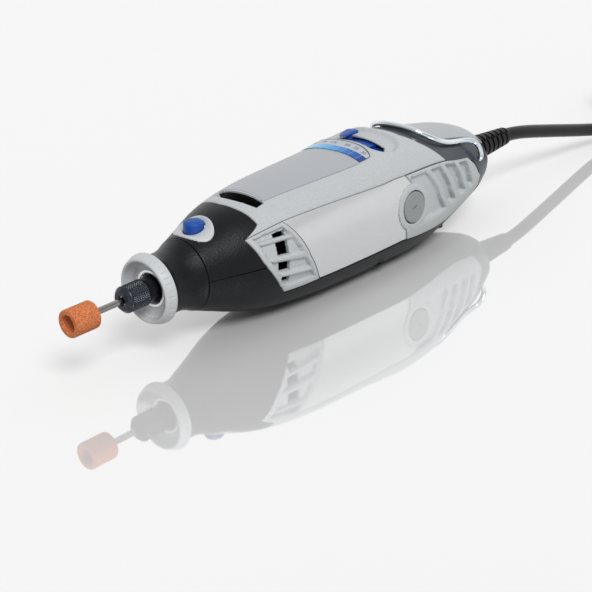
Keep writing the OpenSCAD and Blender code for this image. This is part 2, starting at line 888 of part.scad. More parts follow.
module lower_housing() {
  stations = filled([seam_x, 43.3, 51.7, 52.2, 68, 90, 116, 135, 155, 172, 181, 188, tail_x - 0.2], 8);
  color([0.12, 0.13, 0.15])
    placed()
      difference() {
        union() {
          patch(
            seam_x, tail_x - 0.2, function(x) lower_edge(x), function(x) 360 - lower_edge(x), 0, wall_t,
            shares(stations), 18
          );
          for (s = [-1, 1]) {
            screw_boss(108, s * 17.4, inner_floor(108, 17.4) - 1.2, s * 38.7);
            screw_boss(150, s * 13, inner_floor(150, 13) - 0.9, s * 29.7);
            for (x = [158, 172])
              translate([x, s * 7, inner_floor(x, 7) - 0.8])
                cylinder(h = -board_z - inner_floor(x, 7) + 0.7, r = 1.8, $fn = 24);
          }
        }
        for (x = [108, 150], s = [-1, 1])
          translate([x, s * screw_y(x), -30]) {
            cylinder(h = 40, r = 1.6);
            cylinder(h = 30 - axis_h * 0.7, r = 2.9);
          }
        bar(180, 190.6, 6.3);
        bar(190, 200, 5.1);
      }
}

// Screw boss that rises from the sloping belly; low is the height of its foot on its own axis
module screw_boss(x, y, low, tilt) {
  difference() {
    translate([x, y, -axis_h])
      cylinder(h = axis_h - 0.2, r = 3.6, $fn = 24);
    translate([x, y, low])
      rotate([tilt, 0, 0])
        translate([-10, -20, -30])
          cube([20, 40, 30]);
  }
}

// Height of the belly's inner wall at a station and a distance from the middle plane
function inner_floor(x, y) = let(
    w = size_at(x, 1) - wall_t,
    h = size_at(x, 3) - wall_t,
    p = size_at(x, 4)
  ) -h * pow(1 - pow(y / w, p), 1 / p);

// Depth of the speed board's lower face below the spindle
board_z = 9;

// Distance of the housing screws from the middle plane
function screw_y(x) = x < 120 ? 17.4 : 13;

module housing_screws() {
  color([0.3, 0.3, 0.32])
    placed()
      for (x = [108, 150], s = [-1, 1])
        translate([x, s * screw_y(x), -axis_h * 0.7]) {
          cylinder(h = 5 + axis_h * 0.7, r = 1.5);
          translate([0, 0, -1.8])
            cylinder(h = 1.8, r = 2.8);
        }
}

module side_plate() {
  patch(
    function(v) grille_rear(v) + joint_gap + 0.2,
    function(v) intake_front(v) - joint_gap - 0.2,
    function(x) shoulder(x) + gap_a, function(x) sill(x) - gap_a, 0.25, 0.95, 6, 9
  );
}

module left_plate() {
  color([0.82, 0.83, 0.84])
    placed()
      difference() {
        side_plate();
        cross_bar(brush_x, 0, -30, -10, cap_r + 3.3);
      }
}

module right_plate() {
  color([0.82, 0.83, 0.84])
    placed()
      other_side()
        difference() {
          side_plate();
          cross_bar(brush_x, 0, -30, -10, cap_r + 3.3);
        }
}

// Front grille: a sunk wall with four windows, a raised rim and three ribs that lean back
module side_grille() {
  low = 55.2;
  high = 120.6;
  edge = shares(filled([low, 70, 85, high], 6));
  // Each rib: the angle at its front and rear
  ribs = [[60.5, 60.5], [66, 73], [85.5, 90.5], [100.5, 102.8], [116.5, 113]];
  difference() {
    patch(
      function(v) front_edge(mix(low, high, v)), function(v) grille_rear(v),
      function(x) shoulder(x) + gap_a, function(x) sill(x) - gap_a, 0, wall_t + 0.6, 5, edge
    );
    for (k = [0:3])
      patch(
        function(v) front_edge(mix(ribs[k][0], ribs[k + 1][0], v)) + 1.9,
        function(v) grille_rear(mix(ribs[k][1] - 55, ribs[k + 1][1] - 55, v) / 65) - 1.7,
        function(x) grille_line(ribs[k], x) + 1.9, function(x) grille_line(ribs[k + 1], x) - 1.9,
        -1, 1.3, 4, 2
      );
    for (k = [0:3])
      patch(
        function(v) 49.8, function(v) 53.8,
        function(x) grille_line(ribs[k], x) + 2.6, function(x) grille_line(ribs[k + 1], x) - 2.6, -1.5, wall_t + 3, 1, 1
      );
  }
}

// Angle of a rib's middle at a station
function grille_line(rib, x) = mix(rib[0], rib[1], (x - 42) / 20);

module left_grille() {
  color([0.68, 0.69, 0.7])
    placed()
      side_grille();
}

module right_grille() {
  color([0.68, 0.69, 0.7])
    placed()
      other_side()
        side_grille();
}

// Rear intake: a sunk wall with three leaning bars, a frame and the boss round the brush cap
module side_intake() {
  // Each bar: front and rear stations at its upper end, then at its lower end
  bars = [[120, 121.6, 120, 121.6], [131.6, 134.6, 144.6, 148.4], [142, 145.2, 153, 157], [153.8, 157, 161.4, 164.8], [163.5, 166, 168.5, 171]];
  difference() {
    union() {
      difference() {
        patch(
          function(v) intake_front(v), function(v) intake_rear(v),
          function(x) intake_top(x) + gap_a, function(x) sill(x) - gap_a, 0, wall_t + 0.8,
          10, shares([0, 0.1, 0.17, 0.2, 0.3, 0.45, 0.5, 0.6, 0.7, 0.8, 0.9, 1])
        );
        for (k = [0:3])
          patch(
            function(v) mix(bars[k][1], bars[k][3], v), function(v) mix(bars[k + 1][0], bars[k + 1][2], v),
            function(x) intake_top(x) + 3.4, function(x) lookup(x, [[120, 102.5], [139, 105], [155, 103], [170, 103]]),
            -1, 1.3, 4, 6
          );
      }
      cross_bar(brush_x, 0, -half_w + 2.4, -half_w - 0.15, cap_r + 3);
      cross_bar(brush_x, 0, -cap_seat_y + 4.5, -half_w + 3, cap_r + 1.2);
    }
    cross_bar(brush_x, 0, -cap_seat_y + 0.2, -30, cap_r + run_fit);
    cross_bar(brush_x, 0, -cap_seat_y + 4.9, -cap_seat_y - 0.1, 5.5);
  }
}

module left_intake() {
  color([0.68, 0.69, 0.7])
    placed()
      side_intake();
}

module right_intake() {
  color([0.68, 0.69, 0.7])
    placed()
      other_side()
        side_intake();
}

// ---- Rear end ----

module end_cap() {
  edge = both_sides([0, 21, 39, 52, 65, 66.5, 71, 79, 99.5, 111.7, 125.3]);
  color([0.17, 0.19, 0.21])
    placed()
      difference() {
        union() {
          patch(
            function(v) cap_front(mix(-125.3, 125.3, v)), tail_x - 0.2, -125.3, 125.3,
            function(x, a) 1.25 - 1.05 * min(max((abs(a) - 55) / 35, 0), 1) * min((tail_x - x) / 8, 1),
            wall_t + 1.2, 10, shares(filled(edge, 9))
          );
          for (s = [-1, 1]) {
            cross_bar(bail_x, bail_z, s * 12.4, s * 16.6, 3);
            translate([150, s * 13, 0.3])
              cylinder(h = 15.3, r = 3, $fn = 24);
          }
        }
        bar(180, 190.6, 6.3);
        bar(190, 200, 5.1);
        for (s = [-1, 1]) {
          cross_bar(bail_x, bail_z, s * 11, s * 30, bail_r + run_fit);
          translate([150, s * 13, 0])
            cylinder(h = 7, r = 1.6);
        }
      }
}

// Half angle of the rear hump at a station
function hump_edge(x) = lookup(x, [
  [142, 3], [142.6, 12], [145, 22], [149.5, 33], [155, 37.5], [161, 39], [171, 43], [180, 47], [190, 48]
]);

module rear_hump() {
  color([0.68, 0.69, 0.7])
    placed()
      patch(142, 189.5, function(x) -hump_edge(x), function(x) hump_edge(x), 0, 1.05, shares([142, 142.6, 145, 149.5, 155, 161, 166, 171, 176, 181, 185, 189.5]), 10);
}

// Centre line of one side of the bail, from its pin to the middle of the crown
BAIL_SIDE = [
  [174, 62, -2], [172.6, 55, -1.8], [169.5, 50.5, -1], [165, 47.6, -0.3], [160, 46.2, -0.3],
  [154.5, 44.4, -0.3], [149.6, 40.5, -0.3], [145.6, 33.5, -0.3], [142.6, 24, -0.3], [140.8, 12, -0.3], [140.3, 0, -0.3]
];
function bail_point(p) = skin(p[0], p[1], p[2]);
function mirrored(p) = [p[0], -p[1], p[2]];
bail_leg = concat([[bail_x, -18.7, bail_z]], [[bail_x, -18.4, bail_z + 3.2]], [for (p = BAIL_SIDE) bail_point(p)]);
bail_last = len(bail_leg) - 1;
bail_route = concat(bail_leg, [for (i = [bail_last - 1:-1:0]) mirrored(bail_leg[i])]);

// Unit vector, and the direction of a route at one of its points
function unit(v) = v / norm(v);
function heading(route, i) = unit(route[min(i + 1, len(route) - 1)] - route[max(i - 1, 0)]);

// Tube along a route of points; side is a vector never in line with the route
module swept(route, r, sides, side) {
  count = len(route);
  points = [for (i = [0:count - 1], k = [0:sides - 1]) let(
      h = heading(route, i),
      p = unit(cross(side, h)),
      q = cross(h, p),
      a = 360 * (k + 0.5) / sides
    ) route[i] + r * (cos(a) * p + sin(a) * q)];
  faces = [for (i = [0:count - 2], k = [0:sides - 1]) let(
      a = i * sides + k,
      b = i * sides + (k + 1) % sides
    ) each [[a, a + sides, b + sides], [a, b + sides, b]]];
  first = [for (k = [0:sides - 1]) k];
  last = [for (k = [sides - 1:-1:0]) (count - 1) * sides + k];
  polyhedron(points, concat(faces, [first], [last]), convexity = 6);
}

module hanging_bail() {
  color([0.85, 0.87, 0.9])
    placed() {
      swept(bail_route, bail_r, 8, [1, 0.01, -1]);
      for (s = [-1, 1])
        cross_bar(bail_x, bail_z, s * 12.8, s * 19, bail_r);
    }
}

module speed_board() {
  color([0.1, 0.35, 0.2])
    placed()
      translate([155, -10.5, -board_z])
        cube([20, 21, 1.6]);
}

module capacitor() {
  color([0.75, 0.6, 0.2])
    placed()
      translate([160, -6, -7.3])
        cube([9, 12, 8]);
}

// ---- Cord ----

cord_r = cord_d / 2;
tie_t = 0.4;
tie_w = 8;
// Hank: turns 3 cord diameters from its middle line and outwards, two wide and four high
hank_z = tie_t + 0.1;
hank_x = 270;
hank_run = 46;
hank_in = 5 * cord_r;
hank_out = hank_in + 2 * cord_d;
hank_h = 4 * cord_d;
// Where the cord enters the plug
plug_x = 386;
plug_y = -14;
plug_z = 7;

// Route of the lead from the strain relief to the hank, on the bench's own axes
LEAD = [
  [130, 0, 24.3], [136, 0, 23.2], [144, 0, 21.5], [153, 0, 19.3], [163, 0, 16.9], [173, 0, 14.4],
  [184, 0, 11.7], [193, -0.1, 9.6], [202, -1, 7.6], [211, -4, 5.9], [220, -8.9, 4.7],
  [229, -14.3, 4], [238, -19.1, 3.6], [248, -22.8, 3.5], [258, -23.9, 3.5]
];
// Route of the tail from the hank to the plug
TAIL = [
  [322, -24, 9.5], [330, -23.8, 9.3], [339, -22.9, 8.8], [348, -21.2, 8.2], [357, -19, 7.7],
  [366, -16.8, 7.3], [374, -15.1, 7.1], [381, -14.2, 7], [385.8, -14, 7]
];

module strain_relief() {
  steps = 6;
  pitch = (relief_l - 2.4) / steps;
  color([0.08, 0.08, 0.09])
    placed()
      difference() {
        turned([
          [186.8, 0], [186.8, 6.2], [190.4, 6.2], [190.4, 5], [tail_x + 0.3, 5], [tail_x + 0.3, 5.5],
          [tail_x + 1.5, 5.5], [relief_end_x - 1, 3.9], [relief_end_x, 3.6], [relief_end_x, 0]
        ]);
        for (i = [0:steps - 1], s = [0, 1])
          rotate([s * 90, 0, 0])
            for (m = [-1, 1])
              translate([tail_x + 2 + pitch * i + s * pitch / 2, m > 0 ? 3.3 : -7.3, -8])
                cube([1.1, 4, 16]);
      }
}

module cord_lead() {
  color([0.07, 0.07, 0.08])
    swept(concat([[relief_end_x - mid_x, 0, axis_h]], LEAD), cord_r, 8, [0, 1, 0.001]);
}

// Long outline with round ends, drawn at a distance from the middle line of the hank
module hank_outline(r) {
  hull()
    for (x = [hank_x, hank_x + hank_run])
      translate([x, 0])
        circle(r, $fn = 40);
}

// Outer shape of the hank, open along its middle
module cord_hank() {
  color([0.07, 0.07, 0.08])
    translate([0, 0, hank_z])
      difference() {
        union() {
          linear_extrude(hank_h)
            hank_outline(hank_out - 1);
          translate([0, 0, 1])
            linear_extrude(hank_h - 2)
              hank_outline(hank_out);
        }
        translate([0, 0, -1])
          linear_extrude(hank_h + 2)
            hank_outline(hank_in);
      }
}

module cord_tail() {
  color([0.07, 0.07, 0.08])
    swept(TAIL, cord_r, 8, [0.001, 0, 1]);
}

// Strap round the middle of the hank
module cord_tie() {
  color([0.1, 0.1, 0.11])
    translate([hank_x + hank_run / 2 - tie_w / 2, 0, 0])
      rotate([90, 0, 90])
        linear_extrude(tie_w)
          difference() {
            tie_outline(tie_t);
            tie_outline(0);
          }
}

// Loop of the tie, as it lies round the hank, grown by its own thickness
module tie_outline(grow) {
  across = hank_out + 0.15;
  offset(r = 1 + grow, $fn = 12)
    translate([1 - across, tie_t + 1])
      square([2 * across - 2, hank_h + hank_z - tie_t - 1.85]);
}

module plug() {
  pins = [-9.5, 9.5];
  color([0.07, 0.07, 0.08])
    translate([plug_x, plug_y, plug_z])
      difference() {
        union() {
          hull() {
            rotate([0, 90, 0])
              cylinder(h = 4, r = 5, $fn = 24);
            translate([20, -13, -6.6])
              cube([4, 26, 13.2]);
          }
          translate([23, -13, -6.6])
            cube([14, 26, 13.2]);
        }
        for (y = pins)
          translate([30, y, 0])
            rotate([0, 90, 0])
              cylinder(h = 16, r = 1.99);
      }
  color([0.8, 0.8, 0.82])
    for (y = pins)
      translate([plug_x + 30, plug_y + y, plug_z])
        rotate([0, 90, 0])
          cylinder(h = plug_pin_l + 7, r = 2);
}

nose_cap();
nose_ring();
wrench_insert();
bearing_sleeve();
front_bearing();
front_bearing_inner();
nose_upper();
button_bezel();
lock_button();
lock_pin();
lock_spring();
lock_guide();
lock_collar();
spindle();
collet();
collet_nut();
stone_shank();
grinding_stone();
cooling_fan();
fan_baffle();
armature_core();
armature_winding();
commutator();
field_core();
field_coils();
field_seat();
rear_bearing_plate();
rear_bearing_mount();
rear_bearing();
rear_bearing_inner();
upper_housing();
top_panel();
lower_housing();
left_grille();
right_grille();
left_plate();
right_plate();
left_intake();
right_intake();
brush_holders();
carbon_brushes();
brush_springs();
left_brush_cap();
right_brush_cap();
speed_scale();
speed_slider();
slider_track();
slider_switch();
speed_board();
capacitor();
housing_screws();
end_cap();
rear_hump();
hanging_bail();
strain_relief();
cord_lead();
cord_hank();
cord_tail();
cord_tie();
plug();
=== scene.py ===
import bmesh
import bpy
import numpy as np
from mathutils import Matrix, Vector


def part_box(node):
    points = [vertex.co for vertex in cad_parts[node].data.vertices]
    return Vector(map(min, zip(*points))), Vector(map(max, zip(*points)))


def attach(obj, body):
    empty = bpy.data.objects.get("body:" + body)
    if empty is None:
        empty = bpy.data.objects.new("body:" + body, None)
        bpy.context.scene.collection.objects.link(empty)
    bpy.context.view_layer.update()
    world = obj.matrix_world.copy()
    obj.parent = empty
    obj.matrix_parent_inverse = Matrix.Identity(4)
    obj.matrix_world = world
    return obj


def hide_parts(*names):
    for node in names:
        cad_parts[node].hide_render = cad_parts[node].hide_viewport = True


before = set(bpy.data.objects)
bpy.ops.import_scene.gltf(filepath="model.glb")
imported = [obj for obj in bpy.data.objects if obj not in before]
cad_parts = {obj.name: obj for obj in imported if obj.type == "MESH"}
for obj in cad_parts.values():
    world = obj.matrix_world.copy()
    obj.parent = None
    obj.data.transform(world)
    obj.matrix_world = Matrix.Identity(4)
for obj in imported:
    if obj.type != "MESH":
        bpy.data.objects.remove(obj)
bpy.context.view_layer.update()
scene = bpy.context.scene

# Stations run along the spindle from the front of the nose ring, in millimetres, and heights are measured
# from the spindle's axis. The bench frame puts the tool's middle over the origin, in metres.
capFrontStation = 7.4
capLow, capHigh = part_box("nose_cap")
midStation = capFrontStation - 1000 * capLow[0]
axisHeight = 500 * (capLow[2] + capHigh[2])
toBench = np.array([-midStation, 0, axisHeight])
print("frame loaded, middle at station", round(midStation, 2), "axis height", round(axisHeight, 2))

# ---- Camera ----

cameraSetup = {"lens": 90.43, "sensor": 36, "place": (-0.39529, -0.37053, 0.21556)}
cameraAxes = Matrix((
    (0.67564, 0.32378, -0.66232),
    (-0.73404, 0.21198, -0.64517),
    (-0.06849, 0.92208, 0.38090),
))
camera = bpy.data.objects.new("camera", bpy.data.cameras.new("camera"))
camera.data.lens = cameraSetup["lens"]
camera.data.sensor_width = cameraSetup["sensor"]
camera.matrix_world = Matrix.Translation(cameraSetup["place"]) @ cameraAxes.to_4x4()
scene.collection.objects.link(camera)
scene.camera = camera

# ---- Shader node helpers ----


def linear(red, green, blue):
    # screen colour from 0 to 255 turned into linear light: (c + 0.055) / 1.055 to the power 2.4
    c = np.array([red, green, blue]) / 255
    c = np.where(c < 0.04045, c / 12.92, ((c + 0.055) / 1.055) ** 2.4)
    return (*c.tolist(), 1)


def newGroup(name, inputs, outputs):
    group = bpy.data.node_groups.new(name, "ShaderNodeTree")
    for label, value in inputs.items():
        socket = group.interface.new_socket(label, in_out="INPUT", socket_type="NodeSocketFloat")
        socket.default_value = value
    for label in outputs:
        group.interface.new_socket(label, in_out="OUTPUT", socket_type="NodeSocketFloat")
    return group, group.nodes.new("NodeGroupInput"), group.nodes.new("NodeGroupOutput")


def mathNode(tree, operation, first, second=None):
    node = tree.nodes.new("ShaderNodeMath")
    node.operation = operation
    for slot, value in enumerate((first, second)):
        if value is None:
            continue
        if isinstance(value, (int, float)):
            node.inputs[slot].default_value = value
        else:
            tree.links.new(value, node.inputs[slot])
    return node.outputs[0]


def mixColours(tree, share, first, second):
    mix = tree.nodes.new("ShaderNodeMix")
    mix.data_type = "RGBA"
    colours = [socket for socket in mix.inputs if socket.type == "RGBA"]
    tree.links.new(share, mix.inputs[0])
    for socket, value in zip(colours, (first, second)):
        if isinstance(value, tuple):
            socket.default_value = value
        else:
            tree.links.new(value, socket)
    return [socket for socket in mix.outputs if socket.type == "RGBA"][0]


def noiseNode(tree, vector, scale, detail=2.0, roughness=0.5):
    node = tree.nodes.new("ShaderNodeTexNoise")
    node.inputs["Detail"].default_value = detail
    node.inputs["Roughness"].default_value = roughness
    tree.links.new(vector, node.inputs["Vector"])
    if isinstance(scale, (int, float)):
        node.inputs["Scale"].default_value = scale
    else:
        tree.links.new(scale, node.inputs["Scale"])
    return node.outputs["Fac"]


# Moulded grain: cells of a given size in millimetres, broken up by a finer noise
def buildMouldGrain():
    group, given, out = newGroup("mouldGrain", {"cell": 0.5}, ("height", "speck"))
    place = group.nodes.new("ShaderNodeTexCoord").outputs["Object"]
    perMetre = mathNode(group, "DIVIDE", 1000.0, given.outputs["cell"])
    cells = group.nodes.new("ShaderNodeTexVoronoi")
    cells.feature = "SMOOTH_F1"
    group.links.new(place, cells.inputs["Vector"])
    group.links.new(perMetre, cells.inputs["Scale"])
    fine = noiseNode(group, place, mathNode(group, "MULTIPLY", perMetre, 2.3))
    bumps = mathNode(group, "SUBTRACT", 1.0, cells.outputs["Distance"])
    group.links.new(mathNode(group, "ADD", bumps, mathNode(group, "MULTIPLY", fine, 0.5)), out.inputs["height"])
    group.links.new(fine, out.inputs["speck"])
    return group


# Slow drift of tone over a surface, with a fine speckle on top
def buildToneDrift():
    group, given, out = newGroup("toneDrift", {"patch": 25.0, "speckle": 0.4}, ("drift", "speckle"))
    place = group.nodes.new("ShaderNodeTexCoord").outputs["Object"]
    wide = noiseNode(group, place, mathNode(group, "DIVIDE", 1000.0, given.outputs["patch"]), 3.0)
    fine = noiseNode(group, place, mathNode(group, "DIVIDE", 1000.0, given.outputs["speckle"]), 1.0)
    group.links.new(wide, out.inputs["drift"])
    group.links.new(fine, out.inputs["speckle"])
    return group


# Fine lines left by turning or grinding, drawn out round the spindle
def buildTurnedLines():
    group, given, out = newGroup("turnedLines", {"line": 0.15}, ("height",))
    place = group.nodes.new("ShaderNodeTexCoord").outputs["Object"]
    split = group.nodes.new("ShaderNodeSeparateXYZ")
    joined = group.nodes.new("ShaderNodeCombineXYZ")
    group.links.new(place, split.inputs[0])
    group.links.new(split.outputs["X"], joined.inputs["X"])
    for axis in "YZ":
        group.links.new(mathNode(group, "MULTIPLY", split.outputs[axis], 0.03), joined.inputs[axis])
    lines = noiseNode(group, joined.outputs[0], mathNode(group, "DIVIDE", 1000.0, given.outputs["line"]), 3.0)
    group.links.new(lines, out.inputs["height"])
    return group


effects = {"mouldGrain": buildMouldGrain(), "toneDrift": buildToneDrift(), "turnedLines": buildTurnedLines()}


class Finish:
    # a material with its Principled shader, to which effects are added one by one
    def __init__(self, name, colour, roughness, metallic=0.0, specular=0.5, coat=0.0, ior=1.5):
        self.material = bpy.data.materials.new(name)
        self.material.use_nodes = True
        self.tree = self.material.node_tree
        self.shader = self.tree.nodes["Principled BSDF"]
        self.colour = colour
        settings = {
            "Base Color": colour, "Roughness": roughness, "Metallic": metallic, "IOR": ior,
            "Specular IOR Level": specular, "Coat Weight": coat, "Coat Roughness": 0.12,
        }
        for socket, value in settings.items():
            self.shader.inputs[socket].default_value = value

    def effect(self, name, **values):
        node = self.tree.nodes.new("ShaderNodeGroup")
        node.node_tree = effects[name]
        for label, value in values.items():
            node.inputs[label].default_value = value
        return node

    def blend(self, mask, first, second, low=0.3, high=0.7):
        # colour between two, by a mask stretched from low to high
        ramp = self.tree.nodes.new("ShaderNodeValToRGB")
        ramp.color_ramp.elements[0].position = low
        ramp.color_ramp.elements[0].color = first
        ramp.color_ramp.elements[1].position = high
        ramp.color_ramp.elements[1].color = second
        self.tree.links.new(mask, ramp.inputs["Fac"])
        return ramp.outputs["Color"]

    def vary(self, mask, amount, low=0.3, high=0.7):
        # base colour a little darker and lighter where the mask says
        dark = tuple(c * (1 - amount) for c in self.colour[:3]) + (1,)
        light = tuple(min(1, c * (1 + amount)) for c in self.colour[:3]) + (1,)
        self.tree.links.new(self.blend(mask, dark, light, low, high), self.shader.inputs["Base Color"])
        return self

    def bump(self, height, deep, strength=1.0):
        node = self.tree.nodes.new("ShaderNodeBump")
        node.inputs["Strength"].default_value = strength
        node.inputs["Distance"].default_value = deep / 1000
        self.tree.links.new(height, node.inputs["Height"])
        self.tree.links.new(node.outputs["Normal"], self.shader.inputs["Normal"])
        return self

    def roughen(self, mask, low, high):
        node = self.tree.nodes.new("ShaderNodeMapRange")
        node.inputs["To Min"].default_value = low
        node.inputs["To Max"].default_value = high
        self.tree.links.new(mask, node.inputs["Value"])
        self.tree.links.new(node.outputs["Result"], self.shader.inputs["Roughness"])
        return self


# ---- Finishes ----


def mouldedPlastic(name, colour, roughness, cell, deep, specular=0.5, patch=25.0, amount=0.06, mask="drift"):
    finish = Finish(name, colour, roughness, specular=specular)
    grain = finish.effect("mouldGrain", cell=cell)
    tone = finish.effect("toneDrift", patch=patch, speckle=cell)
    finish.vary(tone.outputs[mask], amount)
    finish.roughen(tone.outputs["speckle"], roughness - 0.05, roughness + 0.07)
    finish.bump(grain.outputs["height"], deep, 0.6)
    return finish.material


def paintedSilver(name, colour):
    finish = Finish(name, colour, 0.3, metallic=0.5, specular=0.4, coat=0.15)
    tone = finish.effect("toneDrift", patch=40.0, speckle=0.25)
    finish.vary(tone.outputs["speckle"], 0.05)
    finish.roughen(tone.outputs["drift"], 0.27, 0.34)
    return finish.material


def turnedMetal(name, colour, roughness, line=0.15, deep=0.004):
    finish = Finish(name, colour, roughness, metallic=1.0)
    lines = finish.effect("turnedLines", line=line)
    tone = finish.effect("toneDrift", patch=12.0, speckle=0.3)
    finish.vary(tone.outputs["drift"], 0.08)
    finish.roughen(tone.outputs["drift"], roughness - 0.06, roughness + 0.08)
    finish.bump(lines.outputs["height"], deep, 0.7)
    return finish.material


def gritStone(name):
    finish = Finish(name, linear(206, 112, 66), 0.9, specular=0.25)
    grain = finish.effect("mouldGrain", cell=0.32)
    tone = finish.effect("toneDrift", patch=6.0, speckle=0.45)
    colour = finish.blend(tone.outputs["speckle"], linear(184, 90, 48), linear(246, 160, 108), 0.28, 0.72)
    finish.tree.links.new(colour, finish.shader.inputs["Base Color"])
    finish.bump(grain.outputs["height"], 0.22, 1.0)
    return finish.material


finishes = {
    "blackPlastic": mouldedPlastic("blackPlastic", (0.0045, 0.0056, 0.0072, 1), 0.32, 0.5, 0.17, 0.2, amount=0.3, mask="speckle"),
    "greyPlastic": mouldedPlastic("greyPlastic", linear(190, 194, 196), 0.42, 0.4, 0.02, 0.4, amount=0.09, mask="speckle"),
    "panelPlastic": mouldedPlastic("panelPlastic", linear(174, 177, 182), 0.36, 0.3, 0.005, 0.4, amount=0.03, mask="speckle"),
    "lightPlastic": mouldedPlastic("lightPlastic", linear(200, 203, 205), 0.42, 0.35, 0.014, 0.4, amount=0.04, mask="speckle"),
    "capPlastic": mouldedPlastic("capPlastic", linear(146, 151, 152), 0.4, 0.35, 0.012, 0.4, amount=0.05, mask="speckle"),
    "slatePlastic": mouldedPlastic("slatePlastic", linear(50, 57, 65), 0.3, 0.3, 0.008, 0.4, amount=0.06),
    "bluePlastic": mouldedPlastic("bluePlastic", linear(20, 74, 160), 0.36, 0.3, 0.01, 0.4, amount=0.05),
    "blueGrain": mouldedPlastic("blueGrain", linear(24, 80, 160), 0.5, 0.5, 0.1, 0.3, patch=1.2, amount=0.2),
    # near-black inner plastic for the real inner parts, and also the painted shade of the cup inside the crescent slot
    "innerPlasticAndSlotShade": mouldedPlastic("innerPlasticAndSlotShade", (0.006, 0.006, 0.007, 1), 0.4, 0.4, 0.02, 0.2),
    "holderPlastic": mouldedPlastic("holderPlastic", linear(196, 152, 74), 0.4, 0.4, 0.01),
    "rubber": mouldedPlastic("rubber", (0.005, 0.005, 0.006, 1), 0.4, 0.35, 0.02, 0.22, amount=0.1),
    "cordPlastic": mouldedPlastic("cordPlastic", (0.005, 0.005, 0.0055, 1), 0.3, 0.6, 0.006, 0.2, patch=60.0, amount=0.1),
    "boardGreen": mouldedPlastic("boardGreen", linear(26, 88, 52), 0.4, 0.8, 0.01),
    "filmYellow": mouldedPlastic("filmYellow", linear(196, 160, 60), 0.25, 0.5, 0.004),
    "carbon": mouldedPlastic("carbon", linear(38, 38, 40), 0.6, 0.2, 0.02, 0.3),
    "silverPlate": paintedSilver("silverPlate", linear(216, 218, 219)),
    "steel": turnedMetal("steel", linear(196, 196, 198), 0.24),
    "rimSteel": turnedMetal("rimSteel", linear(240, 242, 244), 0.36, deep=0.002),
    "shankSteel": turnedMetal("shankSteel", linear(148, 146, 143), 0.16, deep=0.003),
    "brightSteel": turnedMetal("brightSteel", linear(205, 206, 208), 0.1, deep=0.002),
    "darkSteel": turnedMetal("darkSteel", linear(64, 67, 73), 0.32, deep=0.003),
    "chromeWire": turnedMetal("chromeWire", linear(224, 232, 238), 0.09, line=1.0, deep=0.001),
    "copper": turnedMetal("copper", linear(190, 104, 62), 0.32, line=0.4, deep=0.05),
    "brass": turnedMetal("brass", linear(200, 164, 92), 0.25),
    "stone": gritStone("stone"),
}
print("finishes made:", len(finishes))

# ---- Mesh helpers ----


def smoothStep(t):
    t = np.clip(t, 0, 1)
    return t * t * (3 - 2 * t)


# Mesh from points in millimetres on the tool's own axes (or the bench's) and faces of three or four corners. The signed
# volume, a sixth of the sum of p . (q x r) over the triangles, says whether the faces point outwards.
def addPiece(name, points, faces, finish, body, stands=(), sharp=38, onBench=False, closed=True):
    sides = np.shape(faces)[1]
    used, faces = np.unique(faces, return_inverse=True)
    faces = faces.reshape(-1, sides)
    points = (points[used] + (0 if onBench else toBench)) / 1000
    p, q, r, s = (points[faces[:, k]] for k in (0, 1, 2, -1))
    middle = points.mean(0)
    volume = np.einsum("ij,ij->", p - middle, np.cross(q - middle, r - middle) + np.cross(r - middle, s - middle))
    if closed and volume < 0:
        faces = faces[:, ::-1]
    mesh = bpy.data.meshes.new(name)
    mesh.from_pydata(points.tolist(), [], faces.tolist())
    work = bmesh.new()
    work.from_mesh(mesh)
    bmesh.ops.remove_doubles(work, verts=work.verts, dist=3e-6)
    bmesh.ops.dissolve_degenerate(work, edges=work.edges, dist=1e-7)
    work.to_mesh(mesh)
    work.free()
    mesh.shade_smooth()
    mesh.set_sharp_from_angle(angle=np.radians(sharp))
    piece = bpy.data.objects.new(name, mesh)
    scene.collection.objects.link(piece)
    mesh.materials.append(finishes[finish])
    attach(piece, body)
    if stands:
        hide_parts(*stands)
    return piece


# Shell between an outer and an inner grid of points. Faces outside the mask are left out, and the
# open edges of the rest are walled from the outer grid to the inner one.
def gridShell(outer, inner, keep=None):
    rows, columns = outer.shape[:2]
    keep = np.ones((rows - 1, columns - 1), bool) if keep is None else keep
    number = np.arange(rows * columns).reshape(rows, columns)
    count = rows * columns
    corners = [number[:-1, :-1], number[1:, :-1], number[1:, 1:], number[:-1, 1:]]
    top = np.stack([c[keep] for c in corners], 1)
    around = np.pad(keep, 1)
    parts = [top, top[:, ::-1] + count]
    for di, dj, start, end in ((0, -1, 0, 1), (1, 0, 1, 2), (0, 1, 2, 3), (-1, 0, 3, 0)):
        bare = keep & ~around[1 + di:rows + di, 1 + dj:columns + dj]
        a, b = corners[start][bare], corners[end][bare]
        parts.append(np.stack([b, a, a + count, b + count], 1))
    return np.concatenate([outer.reshape(-1, 3), inner.reshape(-1, 3)]), np.concatenate(parts)


# Faces of a grid that closes on itself in both directions
def loopFaces(rows, columns):
    number = np.arange(rows * columns).reshape(rows, columns)
    below = np.roll(number, -1, 0)
    return np.stack([number, below, np.roll(below, -1, 1), np.roll(number, -1, 1)], -1).reshape(-1, 4)


# Faces of a tube: columns close on themselves and rows don't
def tubeFaces(rows, columns):
    number = np.arange(rows * columns).reshape(rows, columns)
    beside = np.roll(number, -1, 1)
    return np.stack([number[:-1], number[1:], beside[1:], beside[:-1]], -1).reshape(-1, 4)


